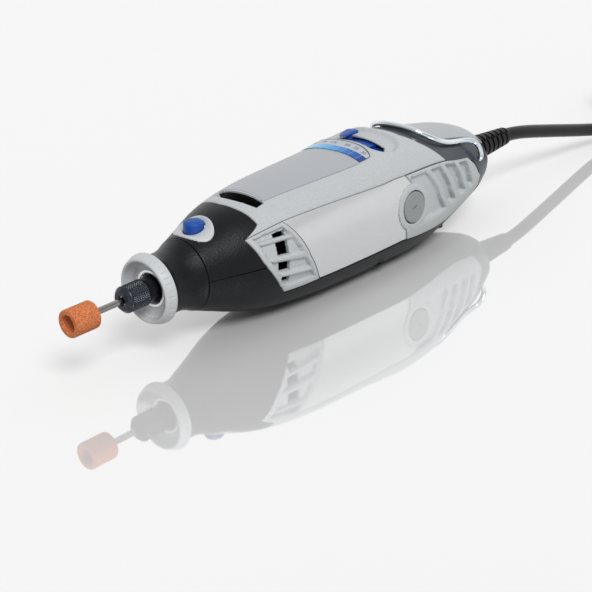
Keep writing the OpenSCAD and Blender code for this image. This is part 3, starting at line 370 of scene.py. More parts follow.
# Corners of a closed outline rounded: each is replaced by points of a quadratic curve from one side to the next
def softCorners(profile, radius, steps=4):
    profile = np.array(profile, float)
    before = np.roll(profile, 1, 0)
    after = np.roll(profile, -1, 0)
    radius = np.broadcast_to(np.asarray(radius, float), (len(profile),))[:, None]
    toBefore, toAfter = before - profile, after - profile
    lengthBefore = np.linalg.norm(toBefore, axis=1, keepdims=True)
    lengthAfter = np.linalg.norm(toAfter, axis=1, keepdims=True)
    first = profile + toBefore * np.minimum(radius / lengthBefore, 0.45)
    last = profile + toAfter * np.minimum(radius / lengthAfter, 0.45)
    t = np.linspace(0, 1, steps + 1)[None, :, None]
    curve = first[:, None] * (1 - t) ** 2 + 2 * profile[:, None] * t * (1 - t) + last[:, None] * t ** 2
    return curve.reshape(-1, 2)


# Extra points along a closed outline, so that none is further than a step from the next
def finerOutline(outline, step):
    after = np.roll(outline, -1, 0)
    counts = np.maximum(1, np.ceil(np.linalg.norm(after - outline, axis=1) / step)).astype(int)
    which = np.repeat(np.arange(len(outline)), counts)
    share = (np.arange(counts.sum()) - np.repeat(np.cumsum(counts) - counts, counts)) / counts[which]
    return outline[which] + (after[which] - outline[which]) * share[:, None]


# Piece turned about the spindle from [station, radius] points; relief gives how far the surface
# sinks at a station, radius and turn, in millimetres, and acts along the radius
def turnedPiece(name, profile, finish, body, stands=(), corner=0.15, sides=96, step=None, relief=None,
                sharp=38, alongStation=None):
    outline = softCorners(profile, corner)
    if step:
        outline = finerOutline(outline, step)
    turn = np.linspace(0, 2 * np.pi, sides, endpoint=False)[None, :]
    station, radius = outline[:, :1] + 0 * turn, outline[:, 1:] + 0 * turn
    if relief:
        radius = radius - relief(station, radius, turn + 0 * radius)
    if alongStation:
        station = station + alongStation(station, radius, turn + 0 * radius)
    points = np.stack([station, -radius * np.sin(turn), radius * np.cos(turn)], -1)
    return addPiece(name, points.reshape(-1, 3), loopFaces(len(outline), sides), finish, body, stands, sharp)


# Smooth line through points: a cubic between each two, with the slope of their neighbours
def throughPoints(points, perSpan):
    points = np.array(points, float)
    slope = np.gradient(points, axis=0)
    t = np.linspace(0, 1, perSpan, endpoint=False)[None, :, None]
    a, b = points[:-1, None], points[1:, None]
    m, n = slope[:-1, None], slope[1:, None]
    curve = a * (2 * t ** 3 - 3 * t ** 2 + 1) + m * (t ** 3 - 2 * t ** 2 + t) + b * (3 * t ** 2 - 2 * t ** 3) + n * (t ** 3 - t ** 2)
    return np.concatenate([curve.reshape(-1, points.shape[1]), points[-1:]])


# Round bar along a path: a circle of points square to the path at each of its points
def sweptBar(path, radii, sides, steady):
    path = np.array(path, float)
    heading = np.gradient(path, axis=0)
    heading /= np.linalg.norm(heading, axis=1, keepdims=True)
    across = np.cross(steady, heading)
    across /= np.linalg.norm(across, axis=1, keepdims=True)
    other = np.cross(heading, across)
    turn = np.linspace(0, 2 * np.pi, sides, endpoint=False)[None, :, None]
    radii = np.broadcast_to(np.asarray(radii, float), (len(path),))[:, None, None]
    points = path[:, None] + radii * (np.cos(turn) * across[:, None] + np.sin(turn) * other[:, None])
    return points.reshape(-1, 3), tubeFaces(len(path), sides)


# ---- Cord, folded into a tied hank in line with the tool, with its plug beyond ----

cordSetup = {"diameter": 6, "inner": 18.3, "nearEnd": 270, "farEnd": 316, "floor": 3.5, "perEnd": 40, "spacing": 2.4}
cordExit = np.array([217 - midStation, 0, axisHeight])
cordLead = np.array([
    cordExit, [130, 0, 24.3], [136, 0, 23.2], [144, 0, 21.5], [153, 0, 19.3], [163, 0, 16.9], [173, 0, 14.4],
    [184, 0, 11.7], [193, -0.1, 9.6], [202, -1, 7.6], [211, -4, 5.9], [220, -8.9, 4.7],
    [229, -14.3, 4], [238, -19.1, 3.6], [248, -22.8, 3.5], [258, -23.9, 3.5], [266, -24, 3.5],
])
cordTail = np.array([
    [322, -24, 9.5], [330, -23.8, 9.3], [339, -22.9, 8.8], [348, -21.2, 8.2], [357, -19, 7.7],
    [366, -16.8, 7.3], [374, -15.1, 7.1], [381, -14.2, 7], [387, -14, 7],
])


# Turns of the hank. One turn lies outside on the bench, four climb on the inside and the rest come down on the
# outside. At the near end each turn crosses to the next one's place, and it stays one diameter from its
# neighbour because the line between them only turns: by a quarter where the column changes.
def hankLine():
    d, inner, count = cordSetup["diameter"], cordSetup["inner"], cordSetup["perEnd"]
    firstLean = np.array([180, 90, 90, 90, 0, -90])
    lastLean = np.array([90, 90, 90, 0, -90, -90])
    share = smoothStep(np.linspace(0, 1, count))[:, None]
    lean = np.radians(firstLean + (lastLean - firstLean) * share)
    away = inner + d * np.cos(share * np.pi / 2)
    away = np.concatenate([away, away + np.cumsum(d * np.cos(lean), 1)], 1)
    up = cordSetup["floor"] + np.concatenate([0 * share, np.cumsum(d * np.sin(lean), 1)], 1)
    turn = np.linspace(0, np.pi, count)[:, None]
    near = np.stack([cordSetup["nearEnd"] - away * np.sin(turn), away * np.cos(turn), up], -1)
    far = np.stack([
        cordSetup["farEnd"] + away[:1] * np.sin(turn), -away[:1] * np.cos(turn), up[:1] + 0 * turn,
    ], -1)
    return np.concatenate([part[:, k] for k in range(far.shape[1]) for part in (far, near)])


# Points the same distance apart along a line, smoothed by a running mean
def evenPoints(line, spacing, spread):
    length = np.concatenate([[0], np.cumsum(np.linalg.norm(np.diff(line, axis=0), axis=1))])
    fine = np.linspace(0, length[-1], int(length[-1]))
    even = np.stack([np.interp(fine, length, line[:, c]) for c in range(3)], 1)
    padded = np.concatenate([np.repeat(even[:1], spread, 0), even, np.repeat(even[-1:], spread, 0)])
    ends = np.minimum(np.minimum(np.arange(len(even)), np.arange(len(even))[::-1]), spread)
    total = np.concatenate([np.zeros((1, 3)), np.cumsum(padded, 0)])
    middle = np.arange(len(even)) + spread
    even = (total[middle + ends + 1] - total[middle - ends]) / (2 * ends + 1)[:, None]
    return even[np.linspace(0, len(even) - 1, int(length[-1] / spacing)).round().astype(int)]


cordLine = np.concatenate([throughPoints(cordLead, 6), hankLine(), throughPoints(cordTail, 6)])
cordLine = evenPoints(cordLine, cordSetup["spacing"], 5)
cordCurve = bpy.data.curves.new("power_cord", "CURVE")
cordCurve.dimensions = "3D"
cordCurve.bevel_depth = cordSetup["diameter"] / 2000
cordCurve.bevel_resolution = 4
cordCurve.use_fill_caps = True
cordSpline = cordCurve.splines.new("POLY")
cordSpline.points.add(len(cordLine) - 1)
cordSpline.points.foreach_set("co", np.column_stack([cordLine / 1000, np.ones(len(cordLine))]).ravel())
cordSpline.use_smooth = True
powerCord = bpy.data.objects.new("power_cord", cordCurve)
scene.collection.objects.link(powerCord)
cordCurve.materials.append(finishes["cordPlastic"])
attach(powerCord, "housing")
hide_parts("cord_lead", "cord_hank", "cord_tail")

# Strap round the middle of the hank: a loop in the hank's section, carried over the strap's width
tieSetup = {"middle": 293, "width": 8, "thick": 0.8, "half": 27.5, "top": 25}
tieOutline = softCorners([
    (-tieSetup["half"], 0.05), (tieSetup["half"], 0.05), (tieSetup["half"], tieSetup["top"]), (-tieSetup["half"], tieSetup["top"]),
], 3, 6)
tieFacing = np.roll(tieOutline, -1, 0) - np.roll(tieOutline, 1, 0)
tieFacing = np.stack([tieFacing[:, 1], -tieFacing[:, 0]], 1) / np.linalg.norm(tieFacing, axis=1, keepdims=True)
tieLoops = []
for offset, across in ((0.0, -0.5), (0.0, 0.5), (-0.4, 0.5), (-0.4, -0.5)):
    ring = tieOutline + tieFacing * offset
    station = np.full(len(ring), tieSetup["middle"] + across * tieSetup["width"])
    tieLoops.append(np.column_stack([station, ring[:, 0], ring[:, 1]]))
cordTie = addPiece("cord_strap", np.concatenate(tieLoops), loopFaces(4, len(tieOutline)), "rubber", "housing",
                   ["cord_tie"], onBench=True)

# Plug: a rounded body that widens from the cord, and two pins
plugSetup = {"entry": 386, "middle": (-14, 7), "pinApart": 19}


# Cross sections are rounded rectangles: each side is a sine or cosine raised to a small power
def roundedSections(stations, halfWide, halfTall, power, sides=48):
    turn = np.linspace(0, 2 * np.pi, sides, endpoint=False)[None, :]
    cosine, sine = np.cos(turn), np.sin(turn)
    stations, halfWide, halfTall, power = (np.asarray(v, float)[:, None] for v in (stations, halfWide, halfTall, power))
    across = halfWide * np.sign(cosine) * np.abs(cosine) ** power
    up = halfTall * np.sign(sine) * np.abs(sine) ** power
    return np.stack([stations + 0 * across, across, up], -1)


plugKnots = np.array([
    [0, 0, 0, 1], [0, 4.2, 4.2, 1], [0.4, 4.7, 4.7, 1], [2, 5, 5, 1], [7, 5.7, 5.2, 0.9], [14, 8, 5.6, 0.7],
    [20, 10.8, 6, 0.5], [25, 12.4, 6.3, 0.42], [27, 13, 6.6, 0.4], [35, 13, 6.6, 0.4], [36.5, 12.6, 6.2, 0.42],
    [37, 11, 5, 0.45], [37, 0, 0, 0.5],
])
plugRows = throughPoints(plugKnots, 5)
plugRows[:, 1:3] = np.maximum(plugRows[:, 1:3], 0)
plugRows[:, 0] = plugSetup["entry"] + np.clip(plugRows[:, 0], 0, 37)
plugGrid = roundedSections(*plugRows.T)
plugPlace = np.array([0, *plugSetup["middle"]])
plugBody = addPiece("plug_body", (plugGrid + plugPlace).reshape(-1, 3), tubeFaces(len(plugRows), 48), "rubber", "housing",
                    ["plug"], onBench=True)
pinOutline = softCorners([(30, 0), (30, 2), (54.8, 2), (55.9, 1.2), (55.9, 0)], [0, 0, 0.8, 0.6, 0])
pinTurn = np.linspace(0, 2 * np.pi, 28, endpoint=False)[None, :]
pinParts = []
for side in (-0.5, 0.5):
    pinParts.append(np.stack([
        plugSetup["entry"] + pinOutline[:, :1] + 0 * pinTurn,
        plugSetup["middle"][0] + side * plugSetup["pinApart"] + pinOutline[:, 1:] * np.cos(pinTurn),
        plugSetup["middle"][1] + pinOutline[:, 1:] * np.sin(pinTurn),
    ], -1).reshape(-1, 3))
pinFaces = loopFaces(len(pinOutline), 28)
plugPins = addPiece("plug_pins", np.concatenate(pinParts), np.concatenate([pinFaces, pinFaces + len(pinParts[0])]),
                    "brightSteel", "housing", onBench=True)
print("strap and plug made")

# ---- Skin of the housing ----

bodySize = {"halfWidth": 25.4, "crown": 26.1, "top": 23.7, "belly": 25.2, "seamRadius": 13.5, "tail": 7, "tailTop": 6,
            "seam": 22, "tailStation": 193, "wall": 2}


def grown(full, share):
    return bodySize["seamRadius"] + share * (full - bodySize["seamRadius"])


def fallen(full, last, share):
    return full - share * (full - last)


# Each section: station, half width, top, belly, squareness
def makeSections():
    w, c, t, b = bodySize["halfWidth"], bodySize["crown"], bodySize["top"], bodySize["belly"]
    e, f = bodySize["tail"], bodySize["tailTop"]
    return np.array([
        [22, grown(w, 0), grown(t, 0), grown(b, 0), 2], [30, grown(w, 0.26), grown(t, 0.28), grown(b, 0.26), 2],
        [40, grown(w, 0.56), grown(t, 0.61), grown(b, 0.56), 2.1], [52, grown(w, 0.77), grown(t, 0.81), grown(b, 0.79), 2.25],
        [68, grown(w, 0.9), grown(t, 0.93), grown(b, 0.92), 2.4], [90, grown(w, 0.97), t, grown(b, 0.99), 2.5],
        [106, w, t + 0.35 * (c - t), b, 2.5], [114, w, t + 0.92 * (c - t), b, 2.5], [126, w, c, b, 2.5],
        [140, fallen(w, e, 0.07), fallen(c, f, 0.08), fallen(b, e, 0.05), 2.5],
        [156, fallen(w, e, 0.22), fallen(c, f, 0.28), fallen(b, e, 0.21), 2.4],
        [171, fallen(w, e, 0.39), fallen(c, f, 0.43), fallen(b, e, 0.4), 2.3],
        [181, fallen(w, e, 0.53), fallen(c, f, 0.61), fallen(b, e, 0.56), 2.2],
        [188, fallen(w, e, 0.7), fallen(c, f, 0.85), fallen(b, e, 0.73), 2], [193, e, f, e, 2],
    ])


sections = makeSections()
lastSection = len(sections) - 1
sectionBefore = np.clip(np.arange(lastSection + 1) - 1, 0, lastSection)
sectionAfter = np.clip(np.arange(lastSection + 1) + 1, 0, lastSection)
sectionSlope = (sections[sectionAfter] - sections[sectionBefore]) / (sections[sectionAfter, :1] - sections[sectionBefore, :1])


# One column of the sections at any station, by a cubic with the slopes of the neighbours
def sizeAt(x, column):
    x = np.clip(x, sections[0, 0], sections[-1, 0])
    i = np.clip(np.searchsorted(sections[:, 0], x, side="right") - 1, 0, lastSection - 1)
    span = sections[i + 1, 0] - sections[i, 0]
    t = (x - sections[i, 0]) / span
    return (sections[i, column] * (2 * t ** 3 - 3 * t ** 2 + 1) + sections[i + 1, column] * (3 * t ** 2 - 2 * t ** 3)
            + span * sectionSlope[i, column] * (t ** 3 - 2 * t ** 2 + t) + span * sectionSlope[i + 1, column] * (t ** 3 - t ** 2))


# Point of the skin at a station and an angle in degrees from the top, towards the left side; its section is a
# superellipse: half size times the sine or cosine raised to 2 / squareness
def skin(x, angle, inset=0.0):
    x, angle, inset = np.broadcast_arrays(np.asarray(x, float), np.asarray(angle, float), np.asarray(inset, float))
    cosine, sine = np.cos(np.radians(angle)), np.sin(np.radians(angle))
    wide = sizeAt(x, 1) - inset
    tall = np.where(cosine >= 0, sizeAt(x, 2), sizeAt(x, 3)) - inset
    power = 2 / sizeAt(x, 4)
    up = tall * np.sign(cosine) * np.abs(cosine) ** power
    return np.stack([x, -wide * np.sign(sine) * np.abs(sine) ** power, np.maximum(up, inset - axisHeight)], -1)


# Height of the upper skin over a point (x, y): tall times (1 - |y / wide| to the squareness) to 1 / squareness
def heightAt(x, y, inset=0.0):
    squareness = sizeAt(x, 4)
    across = np.clip(np.abs(y) / (sizeAt(x, 1) - inset), 0, 1)
    return (sizeAt(x, 2) - inset) * (1 - across ** squareness) ** (1 / squareness)


def along(knots):
    knots = np.array(knots, float)
    return lambda v: np.interp(v, knots[:, 0], knots[:, 1])


# Lines where the mouldings meet, as in the part's source
frontEdgeKnots = along([[0, 42.8], [17, 43.6], [31, 44.7], [46, 45.4], [50, 43], [55.2, 38.1], [85, 42.3], [121, 52], [124, 52.6]])
rearEdgeKnots = along([[0, 130.2], [21, 131.8], [39, 137], [52, 142.6], [66, 148.5]])
capFrontKnots = along([[0, 130.4], [21, 132], [39, 137.2], [52, 142.8], [65, 148.4], [66.5, 151], [71, 165], [79, 170.4],
                       [99.5, 176], [111.7, 175], [125.8, 172.2]])
shoulder = along([[38, 55.2], [55, 54.3], [77, 57.5], [118, 64.5], [148, 65.3]])
sill = along([[52, 121.3], [68, 117.3], [90, 115.3], [116, 114.8], [135, 119.6], [155, 126.5], [172, 126.4]])
grilleRear = along([[0, 54.4], [0.2, 57.6], [0.48, 61.6], [0.68, 64.9], [1, 68.8]])
intakeFront = along([[0, 119.3], [0.2, 122.2], [0.5, 120], [0.8, 117], [1, 118.4]])
intakeRear = along([[0, 164.8], [0.17, 170.5], [0.45, 175.6], [0.7, 174.6], [1, 171.8]])
intakeTop = along([[118, 64.8], [124, 65], [148, 65.8], [165, 71], [176, 78]])
lowerFrontKnots = along([[43.3, 90.4], [51.7, 121], [52.2, 121.8]])
panelEdge = along([[53, 25.4], [71, 27.6], [102, 31.2]])
humpEdge = along([[142, 3], [142.6, 12], [145, 22], [149.5, 33], [155, 37.5], [161, 39], [171, 43], [180, 47], [190, 48]])
joint = {"gap": 0.16, "gapDegrees": 0.4, "patchGap": 0.3, "perDegree": 0.44}


def frontEdge(angle):
    return frontEdgeKnots(np.abs(angle))


def rearEdge(angle):
    return rearEdgeKnots(np.abs(angle))


def capFront(angle):
    return capFrontKnots(np.abs(angle))


def lowerEdge(x):
    return np.where(x < 52.2, lowerFrontKnots(x), sill(x) + joint["gapDegrees"])


# Shares from 0 to 1 with close lines at both ends, where an edge is rounded
def edgedShares(span, step):
    close = np.array([0, 0.05, 0.14, 0.26, 0.42]) / span
    count = max(2, int(round((span - 0.84) / step)))
    return np.unique(np.concatenate([close, np.linspace(close[-1], 1 - close[-1], count), 1 - close]))


# Shares round the skin that are evenly far apart at one station
def evenShares(x, low, high, step):
    dense = np.linspace(low, high, 600)
    length = np.concatenate([[0], np.cumsum(np.linalg.norm(np.diff(skin(x, dense), axis=0), axis=1))])
    shares = edgedShares(length[-1], step) * length[-1]
    return (np.interp(shares, length, dense) - low) / (high - low)


# Grid of a patch of skin: stations and angles from the shares along and round it
def patchGrid(front, rear, low, high, alongShares, roundShares):
    v = roundShares[None, :]
    u = alongShares[:, None]
    frontX = front(v) if callable(front) else front + 0 * v
    rearX = rear(v) if callable(rear) else rear + 0 * v
    x = frontX + (rearX - frontX) * u
    lowA = low(x) if callable(low) else low + 0 * x
    highA = high(x) if callable(high) else high + 0 * x
    return x, lowA + (highA - lowA) * v


# Distance over the skin from every grid point to the patch's own border
def borderDistance(x, angle):
    points = skin(x, angle)
    round_ = np.concatenate([np.zeros((len(x), 1)), np.cumsum(np.linalg.norm(np.diff(points, axis=1), axis=-1), 1)], 1)
    along_ = np.concatenate([np.zeros((1, x.shape[1])), np.cumsum(np.linalg.norm(np.diff(points, axis=0), axis=-1), 0)], 0)
    return np.minimum(np.minimum(round_, round_[:, -1:] - round_), np.minimum(along_, along_[-1:] - along_))


# How far a rounded edge falls at a distance from it: the radius less the height of a quarter circle
def edgeFall(distance, radius):
    t = np.clip(radius - distance, 0, radius)
    return radius - np.sqrt(radius ** 2 - t ** 2)


# Distance to a closed line of corners, less than zero inside it
def cornerDistance(px, py, corners):
    best = np.full(np.shape(px), 1e9)
    inside = np.zeros(np.shape(px), bool)
    for (ax, ay), (bx, by) in zip(corners, corners[1:] + corners[:1]):
        ex, ey = bx - ax, by - ay
        t = np.clip(((px - ax) * ex + (py - ay) * ey) / (ex * ex + ey * ey), 0, 1)
        best = np.minimum(best, np.hypot(px - ax - t * ex, py - ay - t * ey))
        steep = ey if abs(ey) > 1e-9 else 1e-9
        inside ^= ((ay > py) != (by > py)) & (px < ex * (py - ay) / steep + ax)
    return np.where(inside, -best, best)


# Moves grid points that lie near an outline onto it, and the next ones inside onto the foot of its wall,
# along the slope of the distance measured over a small step each way
def snapTo(x, angle, distance, step, foot=None):
    scale = joint["perDegree"]
    for _ in range(2):
        here = distance(x, angle)
        gx = (distance(x + 0.01, angle) - here) / 0.01
        ga = (distance(x, angle + 0.01 / scale) - here) / 0.01
        size = np.maximum(gx ** 2 + ga ** 2, 0.25)
        shift = np.where(np.abs(here) < 0.55 * step, here, 0)
        if foot is not None:
            shift = np.where((here < -0.55 * step) & (here > -1.5 * step), here + foot, shift)
        x = x - shift * gx / size
        angle = angle - shift * ga / size / scale
    return x, angle


# A shell piece on the skin. mirrored makes it on the right side, and holes is a distance that is less
# than zero where there is no shell.
def skinPiece(name, x, angle, outer, inner, finish, body, stands=(), holes=None, mirrored=False, sharp=38):
    keep = None
    if holes is not None:
        middleX = (x[:-1, :-1] + x[1:, :-1] + x[1:, 1:] + x[:-1, 1:]) / 4
        middleA = (angle[:-1, :-1] + angle[1:, :-1] + angle[1:, 1:] + angle[:-1, 1:]) / 4
        keep = holes(middleX, middleA) > 0
    points, faces = gridShell(skin(x, angle, outer), skin(x, angle, inner), keep)
    if mirrored:
        points = points * [1, -1, 1]
    return addPiece(name, points, faces, finish, body, stands, sharp)


print("skin ready")

# ---- Nose cap, ring and steel insert, which unscrew together ----

noseShape = {
    "neck": [(8, 12.35), (9.2, 11.75), (10.6, 11.35), (12.2, 11.2), (14, 11.2), (16, 11.42), (18.2, 12.02), (20.2, 12.78),
             (21.2, 13.3)],
    "inside": [(21.7, 13.2), (21.7, 9.06), (10.4, 9.06), (10.4, 6.5), (9.2, 6.5), (9.2, 10.4), (7.4, 10.4), (7.4, 12.7)],
}
neckLine = throughPoints(noseShape["neck"], 5)
capOutline = np.concatenate([neckLine, [(21.5, 13.42), (21.68, 13.4)], np.array(noseShape["inside"])])
turnedPiece("nose_cap_shell", capOutline, "blackPlastic", "nose_cap", ["nose_cap"], corner=0.12, sides=160)

ringShape = {"marks": 34, "markDeep": 0.26, "dishMarks": 9}
ringProfile = [
    (3.0, 10.9), (3.0, 11.5), (3.4, 11.9), (5.3, 12.74), (6.1, 13), (7.1, 13), (7.4, 12.7), (7.4, 10.3), (9.2, 10.3), (9.2, 6.5),
    (7, 6.5), (6.4, 8.8), (5, 10),
]


# Faint marks pressed round the band, and a ring of short strokes and two long hollows in the dish
def ringRelief(station, radius, turn):
    band = smoothStep((station - 4.1) / 0.4) * smoothStep((6.4 - station) / 0.4) * (radius > 11.9)
    phase = np.mod(turn * ringShape["marks"] / (2 * np.pi), 1)
    wide = 0.05 + 0.05 * np.sin(turn * 7) ** 2
    return ringShape["markDeep"] * band * smoothStep((wide - np.abs(phase - 0.5)) / 0.04 + 0.5)


def dishRelief(station, radius, turn):
    dish = (station > 4.6) & (station < 7.05) & (radius < 10.9) & (radius > 6.5)
    strokes = smoothStep((radius - 9.35) / 0.15) * smoothStep((10.35 - radius) / 0.15) * dish
    phase = np.mod(turn * 40 / (2 * np.pi), 1)
    words = smoothStep(np.sin(turn * 2 + 1.2) / 0.3) * smoothStep((0.17 + 0.09 * np.sin(turn * 13) - np.abs(phase - 0.5)) / 0.08 + 0.5)
    hollow = smoothStep((radius - 7.5) / 0.35) * smoothStep((8.9 - radius) / 0.35) * dish * smoothStep((-0.25 - np.sin(turn * 2 + 1.2)) / 0.12)
    return -0.3 * strokes * words + 0.6 * hollow


turnedPiece("nose_ring_band", ringProfile, "lightPlastic", "nose_cap", ["nose_ring"], corner=0.3, sides=408, step=0.22,
            relief=ringRelief, alongStation=dishRelief)
turnedPiece("wrench_insert_ring", [(6.3, 5.95), (6.3, 6.8), (6.8, 7.0), (10.3, 6.45), (10.3, 5.3), (7.4, 5.3)], "rimSteel", "nose_cap",
            ["wrench_insert"], corner=0.12, sides=96)
print("nose cap made")

# ---- Black nose, bezel and lock button ----

bezelShape = {"middle": 28.8, "long": 5.7, "wide": 9.0, "proud": 0.35, "bowl": 0.75}
buttonShape = {"station": 29.2, "radius": 3.75, "top": 18.0, "foot": 12.3, "flange": 4.6, "scoop": 18, "round": 1.1, "hole": 4.1}


def ovalDistance(x, y, grow):
    a, b = bezelShape["long"] + grow, bezelShape["wide"] + grow
    k = np.hypot((x - bezelShape["middle"]) / a, y / b)
    return (k - 1) * (a * b) ** 0.5


def bezelHole(x, angle):
    return ovalDistance(x, skin(x, angle)[..., 1], 0.15)


def makeNoseUpper():
    step = 0.5
    rounds = evenShares(34, -89.6, 89.6, step)
    x, angle = patchGrid(22, lambda v: frontEdge(-89.6 + 179.2 * v) - 0.3, -89.6, 89.6, edgedShares(21, step), rounds)
    outer = edgeFall(borderDistance(x, angle), 0.22)
    x, angle = snapTo(x, angle, bezelHole, step)
    skinPiece("nose_upper_shell", x, angle, outer, 2, "blackPlastic", "housing", ["nose_upper"], holes=bezelHole)


def makeBezel():
    turn = np.linspace(0, 2 * np.pi, 144, endpoint=False)[None, :]
    t = np.concatenate([[0, 0.03, 0.08], np.linspace(0.15, 0.86, 12), [0.92, 0.96, 0.985, 1]])[:, None]
    hole = buttonShape["hole"]
    x = (1 - t) * (buttonShape["station"] + hole * np.cos(turn)) + t * (bezelShape["middle"] + bezelShape["long"] * np.cos(turn))
    y = ((1 - t) * hole + t * bezelShape["wide"]) * np.sin(turn)
    rimFall = edgeFall((1 - t) * 2.6, 0.42) + edgeFall(t * 2.6, 0.3)
    proud = -bezelShape["proud"] + bezelShape["bowl"] * (1 - smoothStep(t / 0.75)) + rimFall
    top = np.stack([x, y, heightAt(x, y) - proud], -1)
    under = np.stack([x, y, heightAt(x, y, 2)], -1)
    points = np.concatenate([top, under[::-1]])
    addPiece("button_bezel_oval", points.reshape(-1, 3), loopFaces(len(points), 144), "lightPlastic", "housing",
             ["button_bezel"])


# The button's top is flat with a rounded rim, and a cylinder across the tool scoops its front edge
def makeLockButton():
    turn = np.linspace(0, 2 * np.pi, 96, endpoint=False)[None, :]
    radius = buttonShape["radius"]
    rows = [(0.0, buttonShape["top"] + 0.4)]
    rows += [(r, buttonShape["top"] + 0.4 * (1 - (r / radius) ** 2)) for r in np.linspace(0, radius - buttonShape["round"], 11)[1:]]
    rows += [(radius - buttonShape["round"] * (1 - np.sin(a)), buttonShape["top"] - buttonShape["round"] * (1 - np.cos(a)))
             for a in np.linspace(0, np.pi / 2, 7)[1:]]
    rows += [(radius, z) for z in np.linspace(buttonShape["top"] - 1.2, 13.3, 8)]
    rows += [(4.0, 13.1), (buttonShape["flange"], 13.1), (buttonShape["flange"], buttonShape["foot"]), (0, buttonShape["foot"])]
    rows = np.array(rows)
    r, z = rows[:, :1], rows[:, 1:]
    x = r * np.cos(turn)
    y = r * np.sin(turn)
    scoop = 34.6 - np.sqrt(np.maximum(buttonShape["scoop"] ** 2 - (x + radius + 6.5) ** 2, 0))
    z = np.where(z > 14, np.minimum(z + 0 * x, scoop), z + 0 * x)
    points = np.stack([buttonShape["station"] + x, y, z], -1).reshape(-1, 3)
    button = addPiece("lock_button_cap", points, tubeFaces(len(rows), 96), "bluePlastic", "lock_button", ["lock_button"])
    # the pressed face is grained, the side is smooth
    button.data.materials.append(finishes["blueGrain"])
    facing = np.zeros(len(button.data.polygons) * 3)
    button.data.polygons.foreach_get("normal", facing)
    middles = np.zeros(len(button.data.polygons) * 3)
    button.data.polygons.foreach_get("center", middles)
    grained = (facing[2::3] > 0.35) & (middles[2::3] * 1000 > axisHeight + 16)
    button.data.polygons.foreach_set("material_index", grained.astype(np.int32))


makeNoseUpper()
makeBezel()
makeLockButton()
print("nose and button made")

# ---- Upper housing: slot behind the nose, panel recess, slider slot and the dish round it ----

sliderShape = {"station": 117.6, "slotWidth": 5.6, "slotHalf": 15.2, "dishFront": 112.2, "dishRadius": 6.9, "dishHalf": 10.6, "sag": 3.7,
               "reach": 16, "sink": 1.1, "stripDrop": 2.55, "rest": 4.7, "knobHigh": 2.4}
crownRadius = (sliderShape["reach"] ** 2 + sliderShape["sag"] ** 2) / (2 * sliderShape["sag"])
crownMiddle = bodySize["crown"] - crownRadius
dishSurface = crownRadius - sliderShape["sink"]
stripRadius = crownRadius - sliderShape["stripDrop"]


def yOf(x, angle):
    return skin(x, angle)[..., 1]


# Crescent slot: its front and rear edges are parabolas in y
def topSlot(x, angle):
    y = yOf(x, angle) / 11.7
    return np.maximum(np.maximum(47 + 2.6 * y ** 2 - x, x - 53.4 - 0.3 * y ** 2), (np.abs(y) - 1) * 11.7)


def sliderSlot(x, angle):
    y = yOf(x, angle)
    half = sliderShape["slotWidth"] / 2
    return np.hypot(x - sliderShape["station"], np.maximum(np.abs(y) - sliderShape["slotHalf"] + half, 0)) - half


# Dish: a round-ended hollow that runs across the crown, wider than the slot towards the rear
def dishDistance(x, angle):
    y = yOf(x, angle)
    radius = sliderShape["dishRadius"]
    middle = sliderShape["station"] + 3.4
    rear = np.hypot(np.maximum(x - middle, 0), np.maximum(np.abs(y) - sliderShape["dishHalf"], 0)) - radius
    front = np.hypot(np.maximum(middle - x, 0) * radius / (middle - sliderShape["dishFront"] + 0.01),
                     np.maximum(np.abs(y) - sliderShape["dishHalf"], 0)) - radius
    return np.where(x > middle, rear, front)


def panelRecess(x, angle):
    edge = panelEdge(x) + joint["gapDegrees"]
    return np.maximum(np.maximum(53.9 - x, x - 102.4), (np.abs(angle) - edge) * 0.48)


def upperHoles(x, angle):
    return np.minimum(topSlot(x, angle), sliderSlot(x, angle))


def makeUpperHousing():
    step = 0.45
    rounds = evenShares(100, -64.8, 64.8, step)
    x, angle = patchGrid(
        lambda v: frontEdge(-54.8 + 109.6 * v), lambda v: rearEdge(-65 + 130 * v) - joint["gap"],
        lambda x: -shoulder(x), lambda x: shoulder(x), edgedShares(88, step), rounds,
    )
    border = borderDistance(x, angle)
    x, angle = snapTo(x, angle, panelRecess, step, 0.12)
    x, angle = snapTo(x, angle, topSlot, step)
    x, angle = snapTo(x, angle, sliderSlot, step)
    outer = edgeFall(border, 0.75)
    outer = outer + 0.95 * smoothStep(-panelRecess(x, angle) / 0.12) + edgeFall(np.maximum(panelRecess(x, angle), 0), 0.15)
    slots = upperHoles(x, angle)
    # the dish is a cylinder about the crown's own axis, met by a bowl-shaped wall
    y = yOf(x, angle)
    level = crownMiddle + np.sqrt(np.maximum(dishSurface ** 2 - y ** 2, 0))
    drop = np.maximum(heightAt(x, y) - level, 0) * np.clip(sizeAt(x, 2) / np.maximum(heightAt(x, y), 1), 1, 1.3)
    outer = outer + drop * smoothStep(-dishDistance(x, angle) / 1.4) + edgeFall(np.maximum(slots, 0), 0.3)
    inner = 2 + 1.4 * smoothStep((2.5 - topSlot(x, angle)) / 2) * smoothStep((64 - x) / 5)
    # the wall is thin where the slider's strip runs under it
    run = smoothStep((6 - np.abs(x - sliderShape["station"])) / 1.2) * smoothStep((23 - np.abs(y)) / 2)
    inner = np.maximum(inner * (1 - run), outer + 0.75 - 0.4 * run)
    skinPiece("upper_housing_shell", x, angle, outer, inner, "greyPlastic", "housing", ["upper_housing"], holes=upperHoles)


